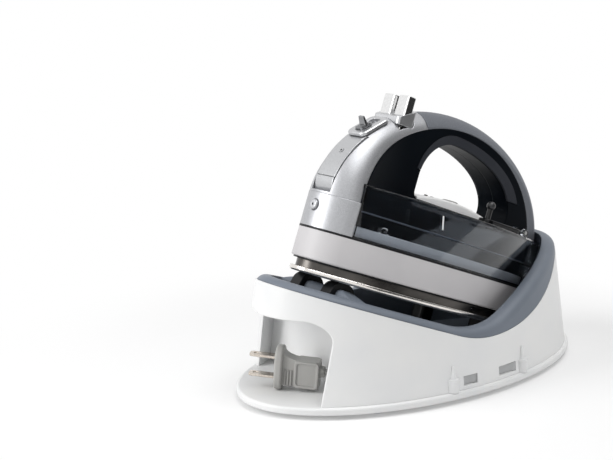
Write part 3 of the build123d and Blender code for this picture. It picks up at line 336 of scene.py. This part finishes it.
groups = {
    "grain": makeMouldGrain(mouldGrain),
    "brush": makeBrushLines(brushLines),
    "flakes": makePaintFlakes(paintFlakes),
}
print("shader groups built:", ", ".join(sorted(groups)))


# Finishes
def useGroup(tree, key, values):
    inputs = {"Place": objectPlace(tree), **values}
    return addNode(tree, "ShaderNodeGroup", inputs, node_tree=groups[key]).outputs


def mixColour(tree, factor, dark, light):
    inputs = {"Factor": factor, "A": srgb(*dark), "B": srgb(*light)}
    return addNode(tree, "ShaderNodeMix", inputs, data_type="RGBA").outputs["Result"]


edgeSamples = 10


def bumpNormal(tree, height, setup):
    inputs = {"Distance": setup["depth"], "Strength": setup["bump"], "Height": height}
    if setup["round"]:
        # softens the light on sharp moulded edges, in metres
        soft = addNode(tree, "ShaderNodeBevel", {"Radius": setup["round"]}, samples=edgeSamples)
        inputs["Normal"] = soft.outputs[0]
    return addNode(tree, "ShaderNodeBump", inputs).outputs[0]


# What a finish has where its own row below doesn't say otherwise
plasticBasis = {
    "grain": mouldGrain["grain"],
    "ior": 1.49,
    "specular": 0.5,
    "coat": 0.0,
    "coatRough": 0.08,
    "depth": 0.00004,
    "bump": 0.25,
    "round": 0.0006,
}
paintBasis = {"cloudFrom": (0.3, 0.7), "depth": 0.00002, "bump": 0.15, "round": 0.0008}
metalBasis = {
    "across": brushLines["across"],
    "along": brushLines["along"],
    "depth": 0.00001,
    "bump": 0.1,
    "round": 0.0005,
}
dotBasis = {"fadeFrom": 0.8, "fadeTo": 1.2, "rough": (0.15, 0.35)}


def plasticMaterial(name, own):
    setup = {**plasticBasis, **own}
    mat, tree, bsdf = newMaterial(name)
    grain = useGroup(tree, "grain", {"Grain": setup["grain"]})
    setInputs(tree, bsdf, {
        "Base Color": mixColour(tree, grain["Gloss"], setup["dark"], setup["light"]),
        "Roughness": mapRange(tree, grain["Gloss"], (0, 1), setup["rough"]),
        "IOR": setup["ior"],
        "Specular IOR Level": setup["specular"],
        "Coat Weight": setup["coat"],
        "Coat Roughness": setup["coatRough"],
        "Normal": bumpNormal(tree, grain["Height"], setup),
    })
    return mat


def paintMaterial(name, own):
    setup = {**paintBasis, **own}
    mat, tree, bsdf = newMaterial(name)
    flakes = useGroup(tree, "flakes", {})
    setInputs(tree, bsdf, {
        "Base Color": mixColour(tree, flakes["Tone"], setup["dark"], setup["light"]),
        "Roughness": mapRange(tree, flakes["Cloud"], setup["cloudFrom"], setup["rough"]),
        "Metallic": setup["metal"],
        "Specular IOR Level": setup["specular"],
        "Normal": bumpNormal(tree, flakes["Height"], setup),
    })
    return mat


def metalMaterial(name, own):
    setup = {**metalBasis, **own}
    mat, tree, bsdf = newMaterial(name)
    brush = useGroup(tree, "brush", {"Across": setup["across"], "Along": setup["along"]})
    setInputs(tree, bsdf, {
        "Base Color": mixColour(tree, brush["Streak"], setup["dark"], setup["light"]),
        "Roughness": mapRange(tree, brush["Streak"], (0, 1), setup["rough"]),
        "Metallic": 1.0,
        "Normal": bumpNormal(tree, brush["Height"], setup),
    })
    return mat


def dotMaterial(name, own):
    # one tone near a point in the iron and another further out, as on a lens with a dot, and as the painted
    # highlight in the middle of the cap knob
    # the middle is in the flat iron's millimetres, the radius in metres
    setup = {**dotBasis, **own}
    mat, tree, bsdf = newMaterial(name)
    reach = distanceTo(tree, ironPlace @ Vector(setup["middle"]))
    fade = (setup["radius"] * setup["fadeFrom"], setup["radius"] * setup["fadeTo"])
    edge = mapRange(tree, reach, fade, (0.0, 1.0))
    setInputs(tree, bsdf, {
        "Base Color": mixColour(tree, edge, setup["dot"], setup["ring"]),
        "Roughness": mapRange(tree, edge, (0, 1), setup["rough"]),
    })
    return mat


def clearMaterial(name, setup):
    mat, tree, bsdf = newMaterial(name)
    grain = useGroup(tree, "grain", {"Smudge": setup["smudge"]})
    setInputs(tree, bsdf, {
        "Base Color": setup["tint"],
        "Transmission Weight": 1.0,
        "IOR": setup["ior"],
        "Roughness": mapRange(tree, grain["Gloss"], (0, 1), setup["rough"]),
    })
    return mat


plastics = {
    "baseWhite": {"dark": (218, 219, 220), "light": (225, 225, 224), "rough": (0.34, 0.46), "bump": 0.12},
    "trayGrey": {"dark": (98, 106, 117), "light": (110, 117, 127), "rough": (0.42, 0.55), "bump": 0.3,
                 "round": 0.0015},
    "handleBlack": {"dark": (5, 9, 14), "light": (8, 13, 19), "rough": (0.34, 0.44), "grain": 3600.0,
                    "specular": 0.04, "round": 0.0012},
    "coreBlack": {"dark": (24, 31, 38), "light": (30, 37, 44), "rough": (0.3, 0.42), "specular": 0.08},
    "gripGrey": {"dark": (46, 48, 53), "light": (54, 56, 61), "rough": (0.6, 0.72), "bump": 0.4,
                 "grain": 2800.0, "specular": 0.04},
    "skirtGrey": {"dark": (184, 182, 184), "light": (194, 192, 193), "rough": (0.4, 0.5), "bump": 0.2},
    "plugGrey": {"dark": (158, 157, 154), "light": (168, 167, 164), "rough": (0.42, 0.52), "bump": 0.2,
                 "round": 0.001},
    "plinthGrey": {"dark": (202, 205, 209), "light": (212, 215, 219), "rough": (0.35, 0.5), "bump": 0.15},
    # the grey of the latch catch plates is painted shade for the latch recesses
    "catchShadeGrey": {"dark": (166, 167, 168), "light": (176, 177, 178), "rough": (0.4, 0.5), "bump": 0.15},
    "gloss": {"dark": (10, 11, 13), "light": (16, 17, 19), "rough": (0.1, 0.16), "bump": 0.03,
              "specular": 0.25},
    "panelWhite": {"dark": (248, 248, 248), "light": (252, 252, 251), "rough": (0.25, 0.35), "bump": 0.08},
    "markWhite": {"dark": (236, 238, 240), "light": (244, 245, 246), "rough": (0.4, 0.5)},
    "restRubber": {"dark": (11, 12, 14), "light": (18, 19, 21), "rough": (0.36, 0.5), "bump": 0.4,
                   "grain": 1800.0, "specular": 0.25},
    "footRubber": {"dark": (196, 196, 205), "light": (212, 212, 218), "rough": (0.3, 0.45)},
    "boardGreen": {"dark": (22, 70, 40), "light": (30, 86, 50), "rough": (0.35, 0.5)},
    "lensGrey": {"dark": (44, 40, 40), "light": (56, 50, 49), "rough": (0.1, 0.18), "coat": 0.5},
}
dots = {
    # the pale middle of the cap knob is a painted highlight; the knob is dark further out
    "knobPaintedHighlight": {"middle": (21.0, -29.5, 74.5), "radius": 0.0026, "dot": (112, 114, 117),
                  "ring": (12, 13, 15)},
    "pilotDot": {"middle": (-92.11, 0, 79.20), "radius": 0.0008, "dot": (36, 33, 33),
                 "ring": (168, 169, 171)},
}
paints = {
    "shellSilver": {"dark": (158, 159, 162), "light": (184, 185, 188), "rough": (0.36, 0.43), "metal": 0.7,
                    "specular": 0.4},
    "coverGrey": {"dark": (104, 107, 113), "light": (121, 124, 130), "rough": (0.42, 0.5), "metal": 0.3,
                  "specular": 0.03},
    "laneSilver": {"dark": (176, 177, 179), "light": (196, 197, 199), "rough": (0.26, 0.32), "metal": 0.85,
                   "specular": 0.4},
}
metals = {
    "bezelSteel": {"dark": (132, 133, 135), "light": (150, 151, 153), "rough": (0.16, 0.24), "bump": 0.02,
                   "round": 0},
    "soleSteel": {"dark": (222, 218, 213), "light": (238, 234, 229), "rough": (0.12, 0.2), "bump": 0.02,
                  "round": 0.0016},
    "castDark": {"dark": (74, 72, 70), "light": (94, 91, 88), "rough": (0.24, 0.36), "bump": 0.2,
                 "across": 1200.0, "along": 300.0},
    "chrome": {"dark": (228, 228, 228), "light": (238, 238, 238), "rough": (0.06, 0.12), "bump": 0.01,
               "round": 0},
    "springSteel": {"dark": (150, 150, 150), "light": (176, 176, 175), "rough": (0.25, 0.35)},
    "brass": {"dark": (186, 160, 104), "light": (206, 182, 128), "rough": (0.2, 0.32)},
    "bladeNickel": {"dark": (196, 186, 176), "light": (214, 206, 196), "rough": (0.2, 0.3)},
}
clears = {
    "tankSmoke": {"tint": (0.80, 0.83, 0.87, 1), "ior": 1.42, "rough": (0.0, 0.03), "smudge": 35.0},
}
makers = (
    (plasticMaterial, plastics),
    (dotMaterial, dots),
    (paintMaterial, paints),
    (metalMaterial, metals),
    (clearMaterial, clears),
)
finishes = {name: maker(name, own) for maker, table in makers for name, own in table.items()}
print(len(finishes), "finishes made")

finishOf = {
    "baseWhite": ["base_plate", "base_shell", "reel_housing"],
    "trayGrey": ["dock_tray"],
    "restRubber": ["nose_ribs", "rear_rests", "skirt_gasket", "cap_seal"],
    "coreBlack": ["terminal_block", "chassis", "tail_terminal", "reel_drum"],
    "handleBlack": ["handle_left", "handle_right"],
    "gripGrey": ["grip_inlay_left", "grip_inlay_right"],
    "skirtGrey": ["skirt"],
    "plugGrey": ["plug_body", "plug_boot", "cord_gland", "cord_lead", "wound_cord", "valve_body",
                 "spray_pump", "shot_pump", "temperature_button"],
    "gloss": ["filler_cap"],
    "knobPaintedHighlight": ["cap_knob"],
    "panelWhite": ["control_panel"],
    "footRubber": ["rubber_feet"],
    "boardGreen": ["control_board"],
    "lensGrey": ["panel_lenses"],
    "pilotDot": ["pilot_lens"],
    "shellSilver": ["nose_shell", "front_shell", "spray_nozzle"],
    "laneSilver": ["front_panel", "selector_bezel", "key_deck"],
    "coverGrey": ["rear_cover"],
    "soleSteel": ["soleplate"],
    "castDark": ["heater_casting", "steam_cover"],
    "chrome": ["spray_key", "shot_key"],
    "bezelSteel": ["steam_slider"],
    "springSteel": ["heating_element", "thermostat", "thermal_fuse", "spray_spring", "shot_spring",
                    "reel_spring", "reel_axle", "cap_pin"],
    "brass": ["dock_contacts", "tail_contacts"],
    "bladeNickel": ["plug_blades"],
    "tankSmoke": ["water_tank"],
}
for finish, members in finishOf.items():
    for name in members:
        slots = nodes[name].data.materials
        slots.clear()
        slots.append(finishes[finish])
        for face in nodes[name].data.polygons:
            face.material_index = 0
left = sorted(set(nodes) - {name for members in finishOf.values() for name in members})
print("CAD nodes with no finish:", left)


# Helpers for pieces that ride on the CAD bodies; the pieces' sizes are in millimetres
def addPiece(name, mesh, body, finish=None):
    # a finished mesh at the origin that moves with a CAD body
    mesh.name = name
    if finish:
        mesh.materials.append(finishes[finish])
    piece = addObject(name, mesh)
    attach(piece, body)
    return piece


def meshFrom(bm, place, smoothBelow=35, mergeWithin=1e-5):
    bmesh.ops.remove_doubles(bm, verts=bm.verts, dist=mergeWithin)
    bmesh.ops.recalc_face_normals(bm, faces=bm.faces)
    for face in bm.faces:
        face.smooth = True
    for edge in bm.edges:
        edge.smooth = len(edge.link_faces) == 2 and edge.calc_face_angle() < radians(smoothBelow)
    mesh = bpy.data.meshes.new("draft")
    bm.to_mesh(mesh)
    bm.free()
    mesh.transform(place)
    return mesh


def stripMesh(rows, capped=True):
    # skin through rows of points in the flat iron, with the last row joined to the first
    bm = bmesh.new()
    made = [[bm.verts.new(point) for point in row] for row in rows]
    for a, b in zip(made, made[1:] + made[:1]):
        for i in range(len(a) - 1):
            bm.faces.new((a[i], a[i + 1], b[i + 1], b[i]))
    if capped:
        for end in (0, -1):
            bm.faces.new([row[end] for row in made])
    return meshFrom(bm, ironPlace)


def bridgeLoops(bm, low, high):
    for i in range(len(low)):
        bm.faces.new((low[i], low[i - 1], high[i - 1], high[i]))


def cornersOf(a, b):
    # the four corners of a cross-section, in order round it
    return (a[0], b[0]), (a[1], b[0]), (a[1], b[1]), (a[0], b[1])


def sharesOf(steps):
    return [k / steps for k in range(steps + 1)]


# Plan of the iron: ovals of four arcs, each given as length, width and tip radius
ironPlan = {"body": (202.0, 89.4, 24.0), "core": (191.4, 49.4, 14.7)}


def grownOval(oval, out):
    length, width, tip = oval
    return length + 2 * out, width + 2 * out, tip + out


def sideArc(oval):
    # middle of the tip arc, half the width, and radius of the long side arcs
    length, width, tip = oval
    tipX, halfY = length / 2 - tip, width / 2
    return tipX, halfY, (tipX ** 2 + halfY ** 2 - tip ** 2) / (2 * (halfY - tip))


def ovalHalf(oval, x):
    # half width at x, on the side arcs
    halfY, side = sideArc(oval)[1:]
    return sqrt(side ** 2 - x ** 2) - (side - halfY)


def ovalRow(oval, setup, z):
    # the oval at one height, from fromX on the near side, round the tail, to fromX on the far side
    tip, fromX, steps = oval[2], setup["fromX"], setup["steps"]
    tipX, halfY, side = sideArc(oval)
    turnX = tipX + tip * tipX / sqrt(tipX ** 2 + (side - halfY) ** 2)
    swing = atan2(side - halfY, tipX)
    near = [fromX + (turnX - fromX) * k / steps for k in range(steps)]
    near = [(x, -ovalHalf(oval, x), z) for x in near]
    tail = [-swing + 2 * swing * k / steps for k in range(steps + 1)]
    tail = [(tipX + tip * cos(a), tip * sin(a), z) for a in tail]
    return near + tail + [(x, -y, z) for x, y, z in reversed(near)]


# Pale tray moulded into the floor of the water tank
tankTray = {
    "inset": 7.0,
    "fromX": -81.5,
    "floor": 29.75,
    "top": 36.0,
    "edge": 0.8,
    "edgeMid": 0.3,
    "steps": 24,
}


def makeTankTray(setup):
    floor, top, edge, mid = setup["floor"], setup["top"], setup["edge"], setup["edgeMid"]
    rows = [ovalRow(ironPlan["core"], setup, z) for z in (top, floor)]
    for cut, z in ((0, floor), (0, top - edge), (mid, top - mid), (edge, top)):
        outer = grownOval(ironPlan["body"], -(setup["inset"] + cut))
        rows.append(ovalRow(outer, setup, z))
    return stripMesh(rows)


addPiece("tankTray", makeTankTray(tankTray), "iron", "plinthGrey")

# Step of the inner body that shows through the tank, halfway up
tankShelf = {"z": 45.3, "thick": 0.8, "out": 4.0, "fromX": -80.0, "steps": 24}


def makeTankShelf(setup):
    rows = []
    for out, rise in cornersOf((0, setup["out"]), (0, setup["thick"])):
        rows.append(ovalRow(grownOval(ironPlan["core"], out), setup, setup["z"] + rise))
    return stripMesh(rows)


addPiece("tankShelf", makeTankShelf(tankShelf), "iron", "trayGrey")

# Bright spring clip on the tray
tankClip = {
    "x": -61.0,
    "long": 9.0,
    "wide": 3.2,
    "rise": 3.4,
    "bend": 1.2,
    "foot": 2.0,
    "sheet": 0.5,
    "edgeGap": 1.4,
}


def makeTankClip(setup, tray):
    # bent from flat sheet: a foot, a rounded hump and a second foot
    half, rise, bend = setup["long"] / 2, setup["rise"], setup["bend"]
    foot = -half + setup["foot"]
    hump = [(foot + bend - bend * cos(a), rise - bend + bend * sin(a)) for a in (0, pi / 6, pi / 3, pi / 2)]
    line = [(-half, 0), (foot, 0)] + hump
    line += [(-x, z) for x, z in reversed(line)]
    inset = tray["inset"] + tray["edge"] + setup["edgeGap"]
    near = -ovalHalf(grownOval(ironPlan["body"], -inset), setup["x"])
    rows = []
    for across, lift in cornersOf((0, setup["wide"]), (0, setup["sheet"])):
        rows.append([(setup["x"] + x, near + across, tray["top"] + z + lift) for x, z in line])
    return stripMesh(rows)


addPiece("tankClip", makeTankClip(tankClip, tankTray), "iron", "chrome")

# Plain printed line for the highest water level, on the near wall of the tank
levelMark = {
    "top": (-32.4, 57.2),
    "bottom": (-30.2, 48.7),
    "wide": 1.1,
    "sink": 0.02,
    "proud": 0.12,
    "steps": 8,
}


def makeLevelMark(setup):
    (topX, topZ), (lowX, lowZ) = setup["top"], setup["bottom"]
    half = setup["wide"] / 2
    rows = []
    for side, out in cornersOf((-half, half), (-setup["sink"], setup["proud"])):
        row = []
        for share in sharesOf(setup["steps"]):
            x = topX + (lowX - topX) * share + side
            row.append((x, -ovalHalf(ironPlan["body"], x) - out, topZ + (lowZ - topZ) * share))
        rows.append(row)
    return stripMesh(rows)


addPiece("levelMark", makeLevelMark(levelMark), "iron", "markWhite")
print("tank tray, shelf, clip and level mark placed")

# Polished finger scoop under the front panel, let into the silver front
laneScoop = {
    "archLong": 101.0,
    "archHigh": 75.0,
    "archZ": 50.0,
    "low": 52.2,
    "high": 61.2,
    "half": 8.2,
    "rim": 1.25,
    "deep": 3.9,
    "sheet": 0.45,
    "steps": 12,
}


def makeLaneScoop(setup):
    # thin sheet that follows the arch of the front and sinks deeper towards its low end
    long, high, mid = setup["archLong"], setup["archHigh"], setup["archZ"]
    lowTurn, highTurn = [asin((z - mid) / high) for z in (setup["low"], setup["high"])]
    rows = []
    for y, under in cornersOf((-setup["half"], setup["half"]), (0, setup["sheet"])):
        row = []
        for share in sharesOf(setup["steps"]):
            turn = lowTurn + (highTurn - lowTurn) * share
            sink = setup["rim"] + (setup["deep"] - setup["rim"]) * (1 - share) ** 2
            on = Vector((-long * cos(turn), y, mid + high * sin(turn)))
            out = Vector((-cos(turn) / long, 0, sin(turn) / high)).normalized()
            row.append(on - out * (sink + under))
        rows.append(row)
    return stripMesh(rows)


addPiece("laneScoop", makeLaneScoop(laneScoop), "iron", "laneSilver")

# Dark bead that fills the parting line between the skirt and the body above it, as painted shade for the
# shadow in the seam gap
seamBead = {"low": 27.35, "high": 28.75, "sink": 0.05, "proud": 0.06, "fromX": 0, "steps": 24}


def makeSeamShadeBead(setup):
    # a closed ring, so it needs no caps
    rows = []
    for out, level in cornersOf((-setup["sink"], setup["proud"]), (setup["low"], setup["high"])):
        tail = ovalRow(grownOval(ironPlan["body"], out), setup, level)
        ring = tail + [(-x, y, z) for x, y, z in reversed(tail)]
        rows.append(ring + ring[:1])
    return stripMesh(rows, capped=False)


addPiece("seamBead", makeSeamShadeBead(seamBead), "iron", "restRubber")

# Grey catch plates on the floors of the latch recesses, with a tooth at one end; their grey is painted shade
# for the recesses
# Each recess has its middle along the base, its length and how far out its floor lies
latchCatches = {
    "recesses": ((-15.2, 11.5, 67.80), (18.5, 17.0, 67.58)),
    "z": 13.0,
    "tall": 6.0,
    "room": 0.3,
    "sheet": 0.35,
    "tooth": 0.9,
    "toothLong": 2.4,
    "slope": 0.8,
}


def makeLatchCatchShade(setup):
    room, sheet, tooth = setup["room"], setup["sheet"], setup["tooth"]
    half = setup["tall"] / 2 - room
    bm = bmesh.new()
    for side in (-1, 1):
        for middle, long, floor in setup["recesses"]:
            start, end = middle - long / 2 + room, middle + long / 2 - room
            foot = end - setup["toothLong"]
            plate = [(start, 0), (start, sheet), (foot - setup["slope"], sheet)]
            line = plate + [(foot, tooth), (end, tooth), (end, 0)]
            low, high = [
                [bm.verts.new((x, side * (floor + out), setup["z"] + z)) for x, out in line]
                for z in (-half, half)]
            bridgeLoops(bm, low, high)
            bm.faces.new(low)
            bm.faces.new(high)
    return meshFrom(bm, toMetres)


addPiece("latchCatches", makeLatchCatchShade(latchCatches), "base", "catchShadeGrey")
print("scoop, seam bead and latch catches placed")


# Geometry Nodes for what repeats
def newTree(name, inputs):
    tree = bpy.data.node_groups.new(name, "GeometryNodeTree")
    tree.interface.new_socket(name="Geometry", in_out="INPUT", socket_type="NodeSocketGeometry")
    sockets = {}
    for label, kind in {**inputs, "Finish": "NodeSocketMaterial"}.items():
        sockets[label] = tree.interface.new_socket(name=label, in_out="INPUT", socket_type=kind).identifier
    tree.interface.new_socket(name="Geometry", in_out="OUTPUT", socket_type="NodeSocketGeometry")
    given = tree.nodes.new("NodeGroupInput").outputs
    return {"tree": tree, "sockets": sockets, "given": given, "end": tree.nodes.new("NodeGroupOutput")}


def endTree(kit, instances):
    tree = kit["tree"]
    realize = addNode(tree, "GeometryNodeRealizeInstances", {"Geometry": instances})
    paint = addNode(tree, "GeometryNodeSetMaterial", {
        "Geometry": realize.outputs["Geometry"], "Material": kit["given"]["Finish"]})
    tree.links.new(paint.outputs["Geometry"], kit["end"].inputs["Geometry"])
    return kit


def pipeAlong(tree, curve, radius, sides):
    # round skin along a curve, closed at both ends
    ring = addNode(tree, "GeometryNodeCurvePrimitiveCircle", {"Resolution": sides, "Radius": radius})
    skin = addNode(tree, "GeometryNodeCurveToMesh", {
        "Curve": curve.outputs[0], "Profile Curve": ring.outputs[0], "Fill Caps": True})
    return skin.outputs[0]


def growMesh(name, kit, spots, values, place):
    # run a tree on a few points and keep the result as a plain mesh, moved to its place
    carrier = bpy.data.meshes.new(name + "Spots")
    carrier.from_pydata(spots, [], [])
    holder = addObject(name + "Holder", carrier)
    grow = holder.modifiers.new(name, "NODES")
    grow.node_group = kit["tree"]
    for label, value in values.items():
        grow[kit["sockets"][label]] = value
    shown = holder.evaluated_get(bpy.context.evaluated_depsgraph_get())
    mesh = bpy.data.meshes.new_from_object(shown)
    holder.modifiers.remove(grow)
    bpy.data.objects.remove(holder)
    mesh.transform(place)
    return mesh


def makeScrewTree():
    # a copy of one screw on each point, each turned by up to a quarter turn
    kit = newTree("screwSet", {
        "Screw": "NodeSocketObject", "Size": "NodeSocketFloat", "Seed": "NodeSocketInt"})
    tree, given = kit["tree"], kit["given"]
    info = addNode(tree, "GeometryNodeObjectInfo", {"Object": given["Screw"]})
    turn = addNode(tree, "FunctionNodeRandomValue", {
        "Min": (0, 0, 0), "Max": (0, 0, pi / 2), "Seed": given["Seed"]}, data_type="FLOAT_VECTOR")
    seat = addNode(tree, "GeometryNodeInstanceOnPoints", {
        "Points": given["Geometry"],
        "Instance": info.outputs["Geometry"],
        "Rotation": turn.outputs["Value"],
        "Scale": given["Size"],
    })
    return endTree(kit, seat.outputs["Instances"])


def makeRidgeTree(sides):
    # a row of low rounded ridges along X, each running along Y
    kit = newTree("ridgeRow", {
        "Count": "NodeSocketInt",
        "Pitch": "NodeSocketFloat",
        "Length": "NodeSocketFloat",
        "Radius": "NodeSocketFloat",
        "Flatten": "NodeSocketFloat",
    })
    tree, given = kit["tree"], kit["given"]
    gaps = mathNode(tree, "SUBTRACT", given["Count"], 1.0)
    span = mathNode(tree, "MULTIPLY", gaps, given["Pitch"])
    first = addNode(tree, "ShaderNodeCombineXYZ", {"X": mathNode(tree, "MULTIPLY", span, -0.5)})
    step = addNode(tree, "ShaderNodeCombineXYZ", {"X": given["Pitch"]})
    row = addNode(tree, "GeometryNodeMeshLine", {
        "Count": given["Count"], "Start Location": first.outputs[0], "Offset": step.outputs[0]})
    start, end = [
        addNode(tree, "ShaderNodeCombineXYZ", {"Y": mathNode(tree, "MULTIPLY", given["Length"], way)})
        for way in (-0.5, 0.5)]
    line = addNode(tree, "GeometryNodeCurvePrimitiveLine", {
        "Start": start.outputs[0], "End": end.outputs[0]})
    squash = addNode(tree, "ShaderNodeCombineXYZ", {"X": 1.0, "Y": 1.0, "Z": given["Flatten"]})
    low = addNode(tree, "GeometryNodeTransform", {
        "Geometry": pipeAlong(tree, line, given["Radius"], sides), "Scale": squash.outputs[0]})
    seat = addNode(tree, "GeometryNodeInstanceOnPoints", {
        "Points": row.outputs[0], "Instance": low.outputs[0]})
    return endTree(kit, seat.outputs["Instances"])


def makeCoilTree(steps, sides):
    # an open coil of round wire that climbs along Z from each point
    kit = newTree("wireCoil", {
        "Turns": "NodeSocketFloat",
        "Radius": "NodeSocketFloat",
        "Height": "NodeSocketFloat",
        "Wire": "NodeSocketFloat",
    })
    tree, given = kit["tree"], kit["given"]
    coil = addNode(tree, "GeometryNodeCurveSpiral", {
        "Resolution": steps,
        "Rotations": given["Turns"],
        "Start Radius": given["Radius"],
        "End Radius": given["Radius"],
        "Height": given["Height"],
    })
    seat = addNode(tree, "GeometryNodeInstanceOnPoints", {
        "Points": given["Geometry"], "Instance": pipeAlong(tree, coil, given["Wire"], sides)})
    return endTree(kit, seat.outputs["Instances"])


screwTree = makeScrewTree()
ridgeTree = makeRidgeTree(sides=14)
coilTree = makeCoilTree(steps=28, sides=10)

# Four cross-head screws in the pockets under the base plate
# The profile gives the head's radius and drop at each ring, as shares of headRadius and headRise
baseScrews = {
    "headRadius": 3.0,
    "headRise": 1.1,
    "profile": ((1.0, 0.0), (1.0, 0.45), (0.93, 0.75), (0.78, 1.0)),
    "slotLong": 1.7,
    "slotWide": 0.55,
    "slotDeep": 0.7,
    "slotTaper": 0.8,
    "sides": 32,
    "smoothBelow": 30,
    "spots": ((-98, 0), (98, 0), (0, -56), (0, 56)),
    "pocketTop": 4.4,
    "scale": 1.0,
    "seed": 4,
}


def makeScrewHead(setup):
    # domed head that looks down, with a cross recess
    r, rise, sides, taper = setup["headRadius"], setup["headRise"], setup["sides"], setup["slotTaper"]
    a, w = setup["slotLong"], setup["slotWide"]
    arm = [(a, -w), (a, w), (w, w)]
    cross = []
    for quarter in range(4):
        cross += arm
        arm = [(-y, x) for x, y in arm]
    bm = bmesh.new()
    turns = [2 * pi * k / sides for k in range(sides)]
    rings = []
    for out, drop in setup["profile"]:
        rings.append([bm.verts.new((r * out * cos(t), r * out * sin(t), -rise * drop)) for t in turns])
    for low, high in zip(rings, rings[1:]):
        bridgeLoops(bm, low, high)
    bm.faces.new(rings[0])
    rim = [bm.verts.new((x, y, -rise)) for x, y in cross]
    pit = [bm.verts.new((x * taper, y * taper, -rise + setup["slotDeep"])) for x, y in cross]
    bridgeLoops(bm, rim, pit)
    bm.faces.new(pit)
    edges = [bm.edges.get((loop[i], loop[i - 1])) or bm.edges.new((loop[i], loop[i - 1]))
             for loop in (rings[-1], rim) for i in range(len(loop))]
    bmesh.ops.triangle_fill(bm, use_beauty=True, edges=edges)
    return meshFrom(bm, Matrix.Identity(4), setup["smoothBelow"])


def makeBaseScrews(setup):
    model = bpy.data.objects.new("screwModel", makeScrewHead(setup))
    spots = [(x, y, setup["pocketTop"]) for x, y in setup["spots"]]
    values = {
        "Screw": model,
        "Size": setup["scale"],
        "Seed": setup["seed"],
        "Finish": finishes["springSteel"],
    }
    mesh = growMesh("baseScrews", screwTree, spots, values, toMetres)
    bpy.data.objects.remove(model)
    return mesh


addPiece("baseScrews", makeBaseScrews(baseScrews), "base")


def makeRidges(name, setup, place):
    values = {
        "Count": setup["count"],
        "Pitch": setup["pitch"],
        "Length": setup["length"],
        "Radius": setup["radius"],
        "Flatten": setup["flatten"],
        "Finish": finishes[setup["finish"]],
    }
    return growMesh(name, ridgeTree, [(0, 0, 0)], values, ironPlace @ place)


# Thumb ridges across the steam slider
sliderRidges = {
    "count": 5,
    "pitch": 1.5,
    "length": 5.6,
    "radius": 0.42,
    "flatten": 0.8,
    "crest": (-76.226, 0, 99.204),
    "down": (-0.760348, 0, -0.649515),
    "along": 3.6,
    "rise": 2.3,
    "finish": "bezelSteel",
}


def crestPlace(setup):
    # ridges run across the arch, and the row follows it down towards the nose
    down = Vector(setup["down"])
    across = Vector((0, 1, 0))
    up = across.cross(down)
    turn = Matrix((-down, across, up)).transposed().to_4x4()
    return Matrix.Translation(Vector(setup["crest"]) + down * setup["along"] + up * setup["rise"]) @ turn


sliderMesh = makeRidges("sliderRidges", sliderRidges, crestPlace(sliderRidges))
addPiece("sliderRidges", sliderMesh, "selector")

# Ridges along the filler cap
capRidges = {
    "count": 3,
    "pitch": 2.4,
    "length": 17.0,
    "radius": 0.5,
    "flatten": 0.7,
    "middle": (39.0, -29.5, 65.4),
    "turn": 90,
    "finish": "gloss",
}


def capPlace(setup):
    return Matrix.Translation(setup["middle"]) @ Matrix.Rotation(radians(setup["turn"]), 4, "Z")


capMesh = makeRidges("capRidges", capRidges, capPlace(capRidges))
addPiece("capRidges", capMesh, "cap")
print("screws and ridges grown")

# Return springs under the two keys
keySpring = {
    "x": -56.478,
    "y": 6.8,
    "low": 94.0,
    "high": 107.178,
    "radius": 3.1,
    "wire": 0.45,
    "turns": 4.0,
    "press": 4.0,
    "spare": 0.1,
    "keys": (("spray", -1), ("shot", 1)),
}


def makeKeySpring(setup, key, side):
    name = key + "Coil"
    foot = Vector((setup["x"], side * setup["y"], setup["low"]))
    tall = setup["high"] - setup["low"]
    values = {
        "Turns": setup["turns"],
        "Radius": setup["radius"],
        "Height": tall - 2 * setup["wire"],
        "Wire": setup["wire"],
        "Finish": finishes["springSteel"],
    }
    mesh = growMesh(name, coilTree, [foot + Vector((0, 0, setup["wire"]))], values, ironPlace)
    coil = addPiece(name, mesh, "iron")
    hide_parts(key + "_spring")
    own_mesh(coil)


for key, side in keySpring["keys"]:
    makeKeySpring(keySpring, key, side)
print("key springs coiled")
